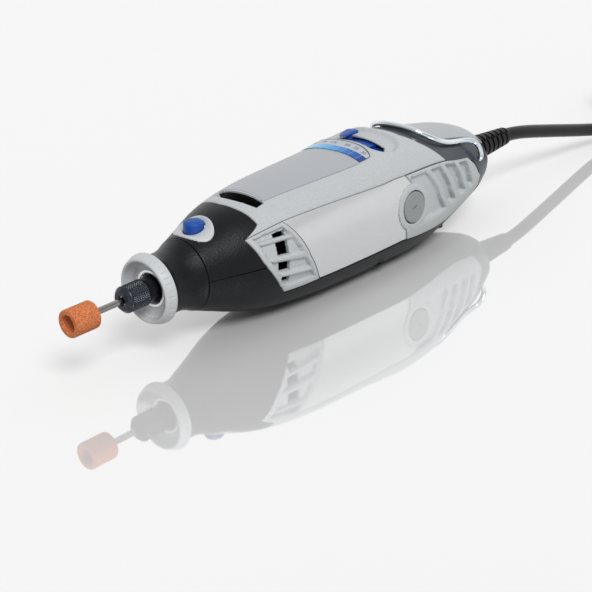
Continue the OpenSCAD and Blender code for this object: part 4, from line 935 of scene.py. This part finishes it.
def makeTopPanel():
    step = 0.7
    rounds = evenShares(80, -28, 28, step)
    x, angle = patchGrid(54.0, 102.3, lambda x: -panelEdge(x), lambda x: panelEdge(x), edgedShares(48, step), rounds)
    outer = edgeFall(borderDistance(x, angle), 0.14)
    skinPiece("top_panel_cover", x, angle, outer, 0.9, "panelPlastic", "housing", ["top_panel"],
              holes=lambda x, angle: topSlot(x, angle) + 10 * (x > 56) - 0.05)


# Near-black cup inside the crescent slot that paints the shade on the slot's walls and in its depth: an outline of two
# parabolas, carried down, in, and closed below
slotShadeShape = {"half": 11.6, "wall": 0.3, "top": 0.9, "floor": 4.6, "foot": 5.4, "count": 60}


def makeSlotShadeCup():
    y = np.linspace(-slotShadeShape["half"], slotShadeShape["half"], slotShadeShape["count"])
    front = np.stack([47.04 + 2.6 * (y / 11.7) ** 2, y], 1)
    rear = np.stack([53.36 + 0.3 * (y / 11.7) ** 2, y], 1)[::-1]
    outline = np.concatenate([front, rear])
    middle = np.array([50.8, 0])
    inside = outline + (middle - outline) * np.array([0.1, 0.03])
    rows = []
    for edge, drop in ((outline, "top"), (inside, "top"), (inside, "floor")):
        rows.append(np.column_stack([edge, heightAt(edge[:, 0], edge[:, 1], slotShadeShape[drop])]))
    centre = np.column_stack([inside * 0 + middle, heightAt(inside[:, 0] * 0 + middle[0], inside[:, 1] * 0, slotShadeShape["floor"])])
    under = np.column_stack([inside * 0 + middle, heightAt(inside[:, 0] * 0 + middle[0], inside[:, 1] * 0, slotShadeShape["foot"])])
    foot = np.column_stack([outline, heightAt(outline[:, 0], outline[:, 1], slotShadeShape["foot"])])
    points = np.stack(rows + [centre, under, foot])
    number = np.arange(len(points) * len(outline)).reshape(len(points), -1)
    number = np.concatenate([number, number[:1]])
    after = np.roll(number, -1, 1)
    faces = np.stack([number[:-1], number[1:], after[1:], after[:-1]], -1)
    faces = np.delete(faces, 3, 0).reshape(-1, 4)[:, ::-1]
    # the cup's near-black stands in for the shade inside the slot
    addPiece("slot_shade_cup", points.reshape(-1, 3), faces, "innerPlasticAndSlotShade", "housing")


makeUpperHousing()
makeTopPanel()
makeSlotShadeCup()
print("upper housing made")

# ---- Lower housing ----

screwHoles = {"radius": 2.9, "places": ((108, 17.4), (150, 13))}


def screwHole(x, angle):
    place = skin(x, angle)
    best = np.full(np.shape(x), 99.0)
    for station, across in screwHoles["places"]:
        best = np.minimum(best, np.hypot(place[..., 0] - station, np.abs(place[..., 1]) - across))
    return np.where(place[..., 2] < 0, best - screwHoles["radius"], 50.0)


def makeLowerHousing():
    step = 0.8
    rounds = evenShares(100, 116, 244, step)
    x, angle = patchGrid(22, 192.8, lowerEdge, lambda x: 360 - lowerEdge(x), edgedShares(171, step), rounds)
    outer = edgeFall(borderDistance(x, angle), 0.3)
    x, angle = snapTo(x, angle, screwHole, step)
    skinPiece("lower_housing_shell", x, angle, outer, 2, "blackPlastic", "housing", ["lower_housing"],
              holes=screwHole)


makeLowerHousing()
print("lower housing made")

# ---- Grilles ----

grilleShape = {
    "ribs": ((58.8, 58.8), (66, 73), (85.5, 90.5), (100.5, 102.8), (116.5, 113)), "ribHalf": 1.15, "pocket": 1.5,
    "windowFront": 49.2, "windowRear": 54.4, "windowLine": 2.6, "span": (55.2, 120.6),
}


def ribLine(rib, x):
    return rib[0] + (rib[1] - rib[0]) * (x - 42) / 20


def grilleShare(x, angle):
    low, high = shoulder(x) + joint["patchGap"], sill(x) - joint["patchGap"]
    return np.clip((angle - low) / (high - low), 0, 1)


# Sunk wall between the front rim and the rear rim, and between the outermost ribs
def grillePocket(x, angle):
    front = frontEdge(angle) + 2.2 - x
    rear = x - grilleRear(grilleShare(x, angle)) + 1.9
    across = np.maximum(ribLine(grilleShape["ribs"][0], x) - angle, angle - ribLine(grilleShape["ribs"][-1], x)) * 0.44
    return np.maximum(np.maximum(front, rear), across)


# Distance across the nearest rib, whose front end is round
def ribDistance(x, angle):
    best = np.full(np.shape(x), 99.0)
    tip = frontEdge(angle) + 3.4
    for rib in grilleShape["ribs"][1:-1]:
        across = (angle - ribLine(rib, x)) * 0.44
        best = np.minimum(best, np.hypot(across, np.maximum(tip - x, 0)))
    return best


def grilleWindow(x, angle):
    across = np.full(np.shape(x), 99.0)
    for rib in grilleShape["ribs"]:
        across = np.minimum(across, np.abs(angle - ribLine(rib, x)))
    inside = np.maximum(grilleShape["windowFront"] - x, x - grilleShape["windowRear"])
    ends = np.maximum(ribLine(grilleShape["ribs"][0], x) - angle, angle - ribLine(grilleShape["ribs"][-1], x)) * 0.44
    return np.maximum(np.maximum(inside, (grilleShape["windowLine"] - across) * 0.44), ends)


def makeGrille(side, mirrored):
    step = 0.36
    low, high = grilleShape["span"]
    rounds = evenShares(56, low, high, step)
    x, angle = patchGrid(
        lambda v: frontEdge(low + (high - low) * v), grilleRear, lambda x: shoulder(x) + joint["patchGap"],
        lambda x: sill(x) - joint["patchGap"], edgedShares(17, step), rounds,
    )
    border = borderDistance(x, angle)
    x, angle = snapTo(x, angle, grillePocket, step, 0.2)
    x, angle = snapTo(x, angle, grilleWindow, step * 0.9)
    pocket = grillePocket(x, angle)
    rib = ribDistance(x, angle)
    ribTop = 0.15 + grilleShape["ribHalf"] - np.sqrt(np.maximum(grilleShape["ribHalf"] ** 2 - rib ** 2, 0))
    sunk = grilleShape["pocket"] * smoothStep(-pocket / 0.22)
    floor = np.where(rib < grilleShape["ribHalf"], np.minimum(ribTop, sunk), sunk)
    outer = edgeFall(border, 0.55) + edgeFall(np.maximum(pocket, 0), 0.7) * (pocket > 0) + floor - 0.15 * smoothStep(pocket / 0.9)
    inner = np.maximum(outer + 1.0, 2.8)
    skinPiece(side + "_grille_shell", x, angle, outer, inner, "greyPlastic", "housing", [side + "_grille"],
              holes=grilleWindow, mirrored=mirrored)


# ---- Silver side plates, cut round the brush cap's boss ----

bossShape = {"station": 121.5, "plateHole": 9.6, "ring": 9.3, "bore": 6.6, "proud": 0.15, "capRadius": 6.15, "capFace": 25.7,
             "capSeat": 22.9, "slotHalf": 1.25, "slotWide": 0.3, "slotDeep": 0.8, "slotTurn": 12}


def bossDistance(x, angle, radius):
    place = skin(x, angle)
    return np.hypot(place[..., 0] - bossShape["station"], place[..., 2]) - radius


def makePlate(side, mirrored):
    step = 0.55
    rounds = evenShares(100, 58, 114, step)
    x, angle = patchGrid(
        lambda v: grilleRear(v) + 0.4, lambda v: intakeFront(v) - 0.4, lambda x: shoulder(x) + joint["patchGap"],
        lambda x: sill(x) - joint["patchGap"], edgedShares(52, step), rounds,
    )
    outer = 0.25 + edgeFall(borderDistance(x, angle), 0.16)
    x, angle = snapTo(x, angle, lambda x, a: bossDistance(x, a, bossShape["plateHole"]), step)
    skinPiece(side + "_plate_cover", x, angle, outer, 0.95, "silverPlate", "housing", [side + "_plate"],
              holes=lambda x, a: bossDistance(x, a, bossShape["plateHole"]), mirrored=mirrored)


# ---- Intakes: a frame with leaning bars over pockets that deepen towards the rear ----

intakeShape = {
    "bars": ((120, 121.6, 120, 121.6), (131.6, 134.6, 144.6, 148.4), (142, 145.2, 153, 157), (153.8, 157, 161.4, 164.8),
             (163.5, 166, 168.5, 171)),
    "deep": (1.6, 2.1, 2.4, 2.4), "top": 3.6, "round": 1.2,
}
intakeFoot = along([[120, 102.5], [139, 105], [155, 103], [170, 103]])


# Distance to the pocket between two bars, with rounded corners, and the depth of the nearest pocket
def intakePocket(x, angle):
    top, foot = intakeTop(x) + intakeShape["top"], intakeFoot(x)
    share = np.clip((angle - top) / (foot - top), -0.2, 1.2)
    across = np.maximum(top - angle, angle - foot) * 0.42
    best, deep = np.full(np.shape(x), 99.0), np.full(np.shape(x), 0.0)
    for before, after, drop in zip(intakeShape["bars"], intakeShape["bars"][1:], intakeShape["deep"]):
        front = before[1] + (before[3] - before[1]) * share
        rear = after[0] + (after[2] - after[0]) * share
        along_ = np.maximum(front - x, x - rear)
        r = intakeShape["round"]
        corner = np.hypot(np.maximum(along_ + r, 0), np.maximum(across + r, 0)) - r
        distance = np.maximum(np.maximum(along_, across), corner)
        deep = np.where(distance < best, drop, deep)
        best = np.minimum(best, distance)
    return best, deep


def makeIntake(side, mirrored):
    step = 0.42
    rounds = evenShares(140, 66, 121, step)
    x, angle = patchGrid(
        intakeFront, intakeRear, lambda x: intakeTop(x) + joint["patchGap"], lambda x: sill(x) - joint["patchGap"],
        edgedShares(52, step), rounds,
    )
    border = borderDistance(x, angle)
    x, angle = snapTo(x, angle, lambda x, a: intakePocket(x, a)[0], step, 0.25)
    bore = lambda x, a: bossDistance(x, a, bossShape["ring"] - 1)
    x, angle = snapTo(x, angle, bore, step)
    pocket, deep = intakePocket(x, angle)
    outer = edgeFall(border, 0.6) + edgeFall(np.maximum(pocket, 0), 0.55) * (pocket > 0) + deep * smoothStep(-pocket / 0.35)
    outer = outer - 0.22 * smoothStep(pocket / 0.9)
    inner = outer + 1.0
    skinPiece(side + "_intake_shell", x, angle, outer, inner, "greyPlastic", "housing", [side + "_intake"],
              holes=bore, mirrored=mirrored)


# Raised ring round the brush cap; it follows the housing's side
def makeBoss(side, mirrored):
    turn = np.linspace(0, 2 * np.pi, 120, endpoint=False)[None, :]
    bore, ring = bossShape["bore"], bossShape["ring"]
    radius = np.array([bore, bore, bore + 0.1, bore + 0.35, bore + 0.8, 8.2, ring - 0.6, ring - 0.2, ring, ring])[:, None]
    proud = np.array([-3.2, -0.5, 0.0, 0.14, 0.18, 0.18, 0.12, 0.02, -0.3, -2.4])[:, None]
    x = bossShape["station"] + radius * np.cos(turn)
    z = radius * np.sin(turn)
    wide, tall, power = sizeAt(x, 1), np.where(z > 0, sizeAt(x, 2), sizeAt(x, 3)), sizeAt(x, 4)
    y = -wide * (1 - np.clip(np.abs(z) / tall, 0, 1) ** power) ** (1 / power) - proud
    points = np.stack([x + 0 * y, y, z + 0 * y], -1)
    if mirrored:
        points = points * [1, -1, 1]
    addPiece(side + "_boss_ring", points.reshape(-1, 3), loopFaces(len(radius), 120), "greyPlastic", "housing")


def makeBrushCap(side, mirrored):
    turn = np.linspace(0, 2 * np.pi, 96, endpoint=False)
    face, seat, rim = bossShape["capFace"], bossShape["capSeat"], bossShape["capRadius"]
    radii = np.concatenate([[0.0], np.linspace(0.12, rim - 0.35, 40), [rim - 0.2, rim - 0.08, rim, rim, 0]])
    depth = np.concatenate([np.full(41, face), [face - 0.05, face - 0.14, face - 0.35, seat, seat]])
    r, t = radii[:, None], turn[None, :]
    x, z = r * np.cos(t), r * np.sin(t)
    lean = np.radians(bossShape["slotTurn"])
    u, w = x * np.cos(lean) + z * np.sin(lean), -x * np.sin(lean) + z * np.cos(lean)
    slot = np.maximum(np.abs(u) - bossShape["slotHalf"], np.abs(w) - bossShape["slotWide"])
    y = depth[:, None] - bossShape["slotDeep"] * smoothStep(0.5 - slot / 0.12) * (depth[:, None] > face - 0.01)
    y = y - 0.12 * smoothStep((r - 4.9) / 0.1) * smoothStep((5.25 - r) / 0.1) * (depth[:, None] > face - 0.01)
    points = np.stack([bossShape["station"] + x, -y, z + 0 * y], -1)
    if mirrored:
        points = points * [1, -1, 1]
    addPiece(side + "_brush_cap_disc", points.reshape(-1, 3), tubeFaces(len(radii), 96), "capPlastic", side + "_brush_cap",
             [side + "_brush_cap"])


for side, mirrored in (("left", False), ("right", True)):
    makeGrille(side, mirrored)
    makePlate(side, mirrored)
    makeIntake(side, mirrored)
    makeBoss(side, mirrored)
    makeBrushCap(side, mirrored)
print("sides made")

# ---- End cap, hump and strain relief ----


def makeEndCap():
    step = 0.6
    rounds = evenShares(168, -125.3, 125.3, step)
    x, angle = patchGrid(lambda v: capFront(-125.3 + 250.6 * v), 192.8, -125.3, 125.3, edgedShares(62, step), rounds)
    ease = np.clip((np.abs(angle) - 55) / 35, 0, 1) * np.minimum((193 - x) / 8, 1)
    outer = 1.25 - 1.05 * ease + edgeFall(borderDistance(x, angle), 0.3)
    skinPiece("end_cap_shell", x, angle, outer, 3.2, "slatePlastic", "housing", ["end_cap"])


def makeHump():
    step = 0.6
    rounds = evenShares(160, -40, 40, step)
    x, angle = patchGrid(142, 189.5, lambda x: -humpEdge(x), lambda x: humpEdge(x), edgedShares(48, 0.45), rounds)
    outer = edgeFall(borderDistance(x, angle), 0.45)
    skinPiece("rear_hump_cover", x, angle, outer, 1.05, "panelPlastic", "housing", ["rear_hump"])


reliefShape = {"end": 217, "first": 195, "pitch": 3.6, "slot": 1.1, "deep": 1.2, "half": 0.9}


# Slots across the strain relief: on both sides, and half a pitch further on above and below
def reliefSlots(station, radius, turn):
    sink = 0 * station
    for shift, offset in ((0, np.pi / 2), (reliefShape["pitch"] / 2, 0)):
        phase = np.mod(station - reliefShape["first"] - shift, reliefShape["pitch"])
        inside = smoothStep((phase + 0.06) / 0.12) * smoothStep((reliefShape["slot"] + 0.06 - phase) / 0.12)
        away = np.abs(np.mod(turn - offset + np.pi / 2, np.pi) - np.pi / 2)
        sink = np.maximum(sink, inside * smoothStep((reliefShape["half"] - away) / 0.06))
    span = (station > reliefShape["first"] - 0.1) & (station < reliefShape["end"] - 1.2) & (radius > 3.3)
    return np.minimum(reliefShape["deep"], np.maximum(radius - 3.25, 0)) * sink * span


def makeStrainRelief():
    turnedPiece("strain_relief_sleeve", [
        (186.8, 0.01), (186.8, 6.2), (190.4, 6.2), (190.4, 5), (193.3, 5), (193.3, 5.5), (194.5, 5.5), (216, 3.9), (217, 3.6), (217, 0.01),
    ], "rubber", "housing", ["strain_relief"], corner=0.3, sides=120, step=0.16, relief=reliefSlots)


# ---- Wire bail ----

bailShape = {"radius": 1.1, "pin": (174.4, 3.5), "side": (
    (174, 62, -2), (172.6, 55, -1.8), (169.5, 50.5, -1), (165, 47.6, -0.3), (160, 46.2, -0.3), (154.5, 44.4, -0.3),
    (149.6, 40.5, -0.3), (145.6, 33.5, -0.3), (142.6, 24, -0.3), (140.8, 12, -0.3), (140.3, 0, -0.3),
)}


def makeBail():
    pinX, pinZ = bailShape["pin"]
    leg = [[pinX, -13, pinZ], [pinX, -16, pinZ], [pinX, -17.6, pinZ + 0.3], [pinX, -18.5, pinZ + 1.5], [pinX, -18.4, pinZ + 3.4]]
    leg += [skin(*p).tolist() for p in bailShape["side"]]
    leg = np.array(leg)
    route = np.concatenate([leg, leg[-2::-1] * [1, -1, 1]])
    path = throughPoints(route, 6)
    radii = np.full(len(path), bailShape["radius"])
    path = np.concatenate([path[:1], path, path[-1:]])
    path[0, 1] -= 0.001
    path[-1, 1] += 0.001
    radii = np.concatenate([[0], radii, [0]])
    points, faces = sweptBar(path, radii, 20, np.array([1, 0.01, -1]))
    addPiece("bail_wire", points, faces, "chromeWire", "hanging_bail", ["hanging_bail"])


makeEndCap()
makeHump()
makeStrainRelief()
makeBail()
print("rear end made")

# ---- Collet nut, shank and stone ----

nutShape = {"front": -7, "pitch": 0.95, "around": 33, "deep": 0.3}


# Diamond knurl: two families of slanting grooves, each a triangle wave
def knurl(station, radius, turn):
    band = smoothStep((station + 5.5) / 0.2) * smoothStep((1.9 - station) / 0.2) * (radius > 4.2)
    total = 0 * station
    for sign in (-1, 1):
        phase = np.mod(station / nutShape["pitch"] * 1.0 + sign * turn * nutShape["around"] / (2 * np.pi), 1)
        total = np.maximum(total, np.maximum(0, 1 - 2.6 * np.abs(phase - 0.5)))
    return nutShape["deep"] * band * total


turnedPiece("collet_nut_body", [
    (-7, 1.8), (-7, 3.6), (-5.7, 4.9), (2.6, 4.9), (3.2, 4.4), (8.4, 4.4), (8.4, 3.46), (6, 3.46), (-4, 3.46), (-4.6, 2.0), (-5, 1.8),
], "darkSteel", "collet_nut", ["collet_nut"], corner=[0.12, 0.25, 0.35, 0.2, 0.2, 0.2, 0.1, 0, 0.1, 0.1, 0], sides=260,
            step=0.14, relief=knurl)
turnedPiece("shank_bar", [(-27, 0.005), (-27, 1.2), (9, 1.2), (9, 0.005)], "shankSteel", "grinding_bit", ["stone_shank"],
            corner=0.1, sides=40)
seeds = np.random.default_rng(7)
grain = seeds.normal(0, 1, (160, 300))


def stoneGrain(station, radius, turn):
    rows = np.mod(((station + 31) * 6).astype(int), 160)
    columns = np.mod((turn / (2 * np.pi) * 300).astype(int), 300)
    return 0.045 * grain[rows, columns] * (radius > 1.4)


turnedPiece("stone_head", [
    (-30.6, 3.3), (-30.6, 4.65), (-30.3, 4.95), (-20.3, 4.95), (-20, 4.65), (-20, 1.21), (-27.1, 1.21), (-27.1, 3),
], "stone", "grinding_bit", ["grinding_stone"], corner=0.2, sides=200, step=0.16, relief=stoneGrain)
print("nut and stone made")

# ---- Speed scale and slider ----

scaleShape = {
    "front": 102.6, "rear": 111.4, "dip": 2.5, "half": 31, "proud": 0.12, "bandShare": 0.46, "lift": 0.3, "numberSize": 2.1,
    "tones": ((0.04, (150, 212, 240)), (0.4, (74, 168, 224)), (0.72, (8, 108, 190)), (0.96, (10, 52, 142))),
}
dialNumbers = (("30", 23.5), ("25", 14.5), ("20", 5.5), ("15", -4), ("10", -13.5), ("5", -23))



def makeScale():
    rounds = evenShares(107, -scaleShape["half"], scaleShape["half"], 0.6)
    rear = lambda v: scaleShape["rear"] - scaleShape["dip"] * (2 * v - 1) ** 4
    x, angle = patchGrid(scaleShape["front"], rear, -scaleShape["half"], scaleShape["half"], edgedShares(9, 0.4), rounds)
    outer = -0.3 + edgeFall(borderDistance(x, angle), 0.15)
    strip = skinPiece("speed_scale_strip", x, angle, outer, -0.12, "scalePrint", "housing", ["speed_scale"])
    # the print reads how far across the strip and how far forward each point lies
    mesh = strip.data
    layer = mesh.uv_layers.new(name="print")
    loops = np.zeros(len(mesh.loops), np.int32)
    mesh.loops.foreach_get("vertex_index", loops)
    places = np.zeros(len(mesh.vertices) * 3)
    mesh.vertices.foreach_get("co", places)
    places = places.reshape(-1, 3)[loops] * 1000 - toBench
    across = np.degrees(np.arctan2(-places[:, 1], places[:, 2]))
    across *= 0.47 / np.abs(across).max()
    layer.data.foreach_set("uv", np.column_stack([across + 0.5, (places[:, 0] - 102.6) / 8.8]).ravel())


# Shares: across the strip from the far end to the near one, and back from its front edge
def scalePrint():
    finish = Finish("scalePrint", linear(186, 192, 197), 0.3, specular=0.4)
    tree = finish.tree
    uv = tree.nodes.new("ShaderNodeUVMap")
    uv.uv_map = "print"
    split = tree.nodes.new("ShaderNodeSeparateXYZ")
    tree.links.new(uv.outputs["UV"], split.inputs[0])
    across, back = split.outputs["X"], split.outputs["Y"]
    band = tree.nodes.new("ShaderNodeValToRGB")
    elements = band.color_ramp.elements
    for k, (share, tone) in enumerate(scaleShape["tones"]):
        element = elements[k] if k < 2 else elements.new(share)
        element.position = share
        element.color = linear(*tone)
    tree.links.new(across, band.inputs["Fac"])
    cell = mathNode(tree, "FRACT", mathNode(tree, "MULTIPLY", across, 9.0), 0.0)
    line = mathNode(tree, "LESS_THAN", cell, 0.07)
    pale = linear(186, 192, 197)
    banded = mixColours(tree, mathNode(tree, "GREATER_THAN", back, scaleShape["bandShare"]), band.outputs["Color"], pale)
    lined = mixColours(tree, mathNode(tree, "MULTIPLY", line, 0.45), banded, pale)
    side = mathNode(tree, "ABSOLUTE", mathNode(tree, "SUBTRACT", across, 0.5), 0.0)
    dip = mathNode(tree, "POWER", mathNode(tree, "MULTIPLY", side, 2.13), 4.0)
    rear = mathNode(tree, "GREATER_THAN", mathNode(tree, "ADD", back, mathNode(tree, "MULTIPLY", dip, 0.284)), 0.93)
    ends = mathNode(tree, "GREATER_THAN", side, 0.458)
    edged = mixColours(tree, mathNode(tree, "MAXIMUM", rear, ends), lined, linear(70, 78, 88))
    tree.links.new(edged, finish.shader.inputs["Base Color"])
    return finish.material


# Plain numbers on the dial, laid over the strip: a letter's x runs round the skin and its y runs back
def makeNumbers():
    radius = 24.5
    points, faces, count = [], [], 0
    for label, angle in dialNumbers:
        curve = bpy.data.curves.new("number", "FONT")
        curve.body = label
        curve.size = scaleShape["numberSize"]
        curve.align_x = "CENTER"
        curve.align_y = "CENTER"
        curve.extrude = 0.03
        curve.resolution_u = 3
        holder = bpy.data.objects.new("number", curve)
        scene.collection.objects.link(holder)
        mesh = bpy.data.meshes.new_from_object(holder.evaluated_get(bpy.context.evaluated_depsgraph_get()))
        places = np.zeros(len(mesh.vertices) * 3)
        mesh.vertices.foreach_get("co", places)
        places = places.reshape(-1, 3)
        station = 108.7 - 1.5 * (angle / 31) ** 4 + places[:, 1]
        turn = angle + np.degrees(places[:, 0] / radius)
        points.append(skin(station, turn, -scaleShape["lift"] - places[:, 2]))
        mesh.calc_loop_triangles()
        corners = np.zeros(len(mesh.loop_triangles) * 3, np.int32)
        mesh.loop_triangles.foreach_get("vertices", corners)
        faces.append(corners.reshape(-1, 3) + count)
        count += len(places)
        bpy.data.objects.remove(holder)
        bpy.data.curves.remove(curve)
        bpy.data.meshes.remove(mesh)
    addPiece("scale_numbers", np.concatenate(points), np.concatenate(faces), "printInk", "housing")


finishes["scalePrint"] = scalePrint()
finishes["printInk"] = mouldedPlastic("printInk", linear(52, 58, 66), 0.4, 0.3, 0.001, 0.3, amount=0.05)
makeScale()
makeNumbers()


# Slider: strip that follows the crown, a round neck and a wedge that points forward
def makeSlider():
    rest = np.radians(sliderShape["rest"])
    parts, joins, count = [], [], 0

    def add(points, faces):
        nonlocal count
        parts.append(points)
        joins.append(faces + count)
        count += len(points)

    turn = np.radians(np.linspace(-13, 18, 63))
    outline = softCorners([(114, 0), (121.6, 0), (121.6, -1), (114, -1)], 0.25, 3)
    x = outline[:, :1] + 0 * turn
    radius = stripRadius + outline[:, 1:]
    ring = np.stack([x, -radius * np.sin(turn), radius * np.cos(turn) + crownMiddle], -1)
    closed = np.concatenate([np.broadcast_to(ring[:, :1].mean(0), ring[:, :1].shape), ring,
                             np.broadcast_to(ring[:, -1:].mean(0), ring[:, :1].shape)], 1)
    rows, columns = closed.shape[:2]
    number = np.arange(rows * columns).reshape(rows, columns)
    below = np.roll(number, -1, 0)
    add(closed.reshape(-1, 3), np.stack([number[:, :-1], below[:, :-1], below[:, 1:], number[:, 1:]], -1).reshape(-1, 4))
    circle = np.linspace(0, 2 * np.pi, 40, endpoint=False)[None, :]
    low, high = stripRadius + crownMiddle - 0.6, bodySize["crown"] + 0.4
    neck = [(0, low), (1.4, low), (1.4, high), (0, high)]
    add(np.stack([
        sliderShape["station"] + np.array([[r] for r, z in neck]) * np.cos(circle),
        np.array([[r] for r, z in neck]) * np.sin(circle), np.array([[z] for r, z in neck]) + 0 * circle,
    ], -1).reshape(-1, 3), tubeFaces(4, 40))
    crown = bodySize["crown"]
    knots = np.array([
        [112.4, 0.0, 0.6, 0.0], [112.5, 0.3, 0.6, 0.14], [113.4, 1.1, 0.62, 0.3], [115.2, 2.2, 0.66, 0.5], [117, 2.7, 0.74, 0.7],
        [118.6, 3, 0.82, 0.84], [119.8, 3, 0.86, 0.86], [120.3, 2.8, 0.84, 0.78], [120.4, 2.4, 0.82, 0.66], [120.4, 0, 0.82, 0],
    ])
    wedge = throughPoints(knots, 5)
    wedge[:, 1:4] = np.maximum(wedge[:, 1:4], 0)
    wedge[:, 0] = np.clip(wedge[:, 0], 112.4, 120.4)
    grid = roundedSections(wedge[:, 0], wedge[:, 1], wedge[:, 3], np.full(len(wedge), 0.55), 40)
    grid[..., 2] += (crown + wedge[:, 2])[:, None]
    add(grid.reshape(-1, 3), tubeFaces(len(wedge), 40))
    points = np.concatenate(parts)
    arm = points[:, 2] - crownMiddle
    y = points[:, 1] * np.cos(rest) + arm * np.sin(rest)
    z = -points[:, 1] * np.sin(rest) + arm * np.cos(rest) + crownMiddle
    points = np.stack([points[:, 0], y, z], 1)
    addPiece("slider_wedge", points, np.concatenate(joins), "bluePlastic", "speed_slider", ["speed_slider"])


makeSlider()
print("scale and slider made")

# ---- Pieces that keep their CAD mesh ----

plainNodes = {
    "innerPlasticAndSlotShade": ("lock_guide", "field_seat", "rear_bearing_mount", "fan_baffle"),
    "bluePlastic": ("slider_track",),
    "holderPlastic": ("brush_holders",),
    "darkSteel": ("field_core", "armature_core", "slider_switch", "rear_bearing_plate", "housing_screws"),
    "steel": ("bearing_sleeve", "front_bearing", "front_bearing_inner", "rear_bearing", "rear_bearing_inner", "lock_collar",
              "lock_pin", "lock_spring", "spindle", "collet", "brush_springs"),
    "copper": ("armature_winding", "field_coils", "commutator"),
    "carbon": ("carbon_brushes",),
    "boardGreen": ("speed_board",),
    "filmYellow": ("capacitor",),
    "blackPlastic": ("cooling_fan",),
}
for finish, nodes in plainNodes.items():
    for node in nodes:
        piece = bpy.data.objects[node]
        for place in piece.material_slots:
            place.material = finishes[finish]

# ---- Floor and light ----

floorSetup = {"size": 8, "tone": 0.95, "bounce": 0.2, "mirror": 0.4, "roughness": 0.03}
skySetup = {
    "near": ((0.0, 0.87), (0.21, 0.87), (0.28, 0.34), (0.48, 0.38), (0.68, 0.66), (1.0, 0.72)),
    "far": ((0.0, 1.0), (0.5, 0.99), (0.8, 0.84), (1.0, 0.76)), "thrown": 0.72, "farSide": (0.717, 0.697),
}


# Glossy studio floor: a matt white with an even share of mirror over it
def makeFloor():
    mesh = bpy.data.meshes.new("floor")
    half = floorSetup["size"] / 2
    mesh.from_pydata([(-half, -half, 0), (half, -half, 0), (half, half, 0), (-half, half, 0)], [], [(0, 1, 2, 3)])
    floor = bpy.data.objects.new("floor", mesh)
    scene.collection.objects.link(floor)
    material = bpy.data.materials.new("floor")
    material.use_nodes = True
    tree = material.node_tree
    tree.nodes.remove(tree.nodes["Principled BSDF"])
    matt = tree.nodes.new("ShaderNodeBsdfDiffuse")
    # seen and mirrored it is pale; the light that it throws back up is weaker
    path = tree.nodes.new("ShaderNodeLightPath")
    shown = mathNode(tree, "ADD", path.outputs["Is Camera Ray"], path.outputs["Is Glossy Ray"])
    shown = mathNode(tree, "MINIMUM", mathNode(tree, "ADD", shown, path.outputs["Is Transmission Ray"]), 1.0)
    tones = [(floorSetup[key],) * 3 + (1,) for key in ("bounce", "tone")]
    tree.links.new(mixColours(tree, shown, *tones), matt.inputs["Color"])
    mirror = tree.nodes.new("ShaderNodeBsdfGlossy")
    mirror.inputs["Color"].default_value = (1, 1, 1, 1)
    mirror.inputs["Roughness"].default_value = floorSetup["roughness"]
    mix = tree.nodes.new("ShaderNodeMixShader")
    mix.inputs[0].default_value = floorSetup["mirror"]
    tree.links.new(matt.outputs[0], mix.inputs[1])
    tree.links.new(mirror.outputs[0], mix.inputs[2])
    tree.links.new(mix.outputs[0], tree.nodes["Material Output"].inputs["Surface"])
    mesh.materials.append(material)


def brightnessRamp(tree, knots, height):
    ramp = tree.nodes.new("ShaderNodeValToRGB")
    elements = ramp.color_ramp.elements
    for k, (position, level) in enumerate(knots):
        element = elements[k] if k < 2 else elements.new(position)
        element.position = position
        element.color = (level, level, level, 1)
    tree.links.new(height, ramp.inputs["Fac"])
    return ramp.outputs["Color"]


# Sky: pale round the horizon, bright overhead and on the far side, with a dark card above the near horizon
def makeWorld():
    world = bpy.data.worlds.new("studio")
    scene.world = world
    world.use_nodes = True
    tree = world.node_tree
    place = tree.nodes.new("ShaderNodeTexCoord")
    split = tree.nodes.new("ShaderNodeSeparateXYZ")
    tree.links.new(place.outputs["Generated"], split.inputs[0])
    farX = mathNode(tree, "MULTIPLY", split.outputs["X"], skySetup["farSide"][0])
    farY = mathNode(tree, "MULTIPLY", split.outputs["Y"], skySetup["farSide"][1])
    share = tree.nodes.new("ShaderNodeMapRange")
    share.interpolation_type = "SMOOTHSTEP"
    share.inputs["From Min"].default_value = -0.1
    share.inputs["From Max"].default_value = 0.6
    tree.links.new(mathNode(tree, "ADD", farX, farY), share.inputs["Value"])
    near = brightnessRamp(tree, skySetup["near"], split.outputs["Z"])
    far = brightnessRamp(tree, skySetup["far"], split.outputs["Z"])
    sky = mixColours(tree, share.outputs["Result"], near, far)
    # seen, mirrored or through glass the sky is whole; the light that it throws is softer
    path = tree.nodes.new("ShaderNodeLightPath")
    shown = mathNode(tree, "ADD", path.outputs["Is Camera Ray"], path.outputs["Is Glossy Ray"])
    shown = mathNode(tree, "MINIMUM", mathNode(tree, "ADD", shown, path.outputs["Is Transmission Ray"]), 1.0)
    strength = mathNode(tree, "ADD", mathNode(tree, "MULTIPLY", shown, 1 - skySetup["thrown"]), skySetup["thrown"])
    tree.links.new(sky, tree.nodes["Background"].inputs["Color"])
    tree.links.new(strength, tree.nodes["Background"].inputs["Strength"])


def makeSun(name, strength, spread, facing):
    lamp = bpy.data.lights.new(name, "SUN")
    lamp.energy = strength
    lamp.angle = np.radians(spread)
    sun = bpy.data.objects.new(name, lamp)
    sun.rotation_euler = Vector(facing).to_track_quat("Z", "Y").to_euler()
    scene.collection.objects.link(sun)


makeFloor()
makeWorld()
makeSun("key", 1.8, 24, (-0.35, -0.75, 0.85))
scene.view_settings.view_transform = "Standard"
print("floor and light made")
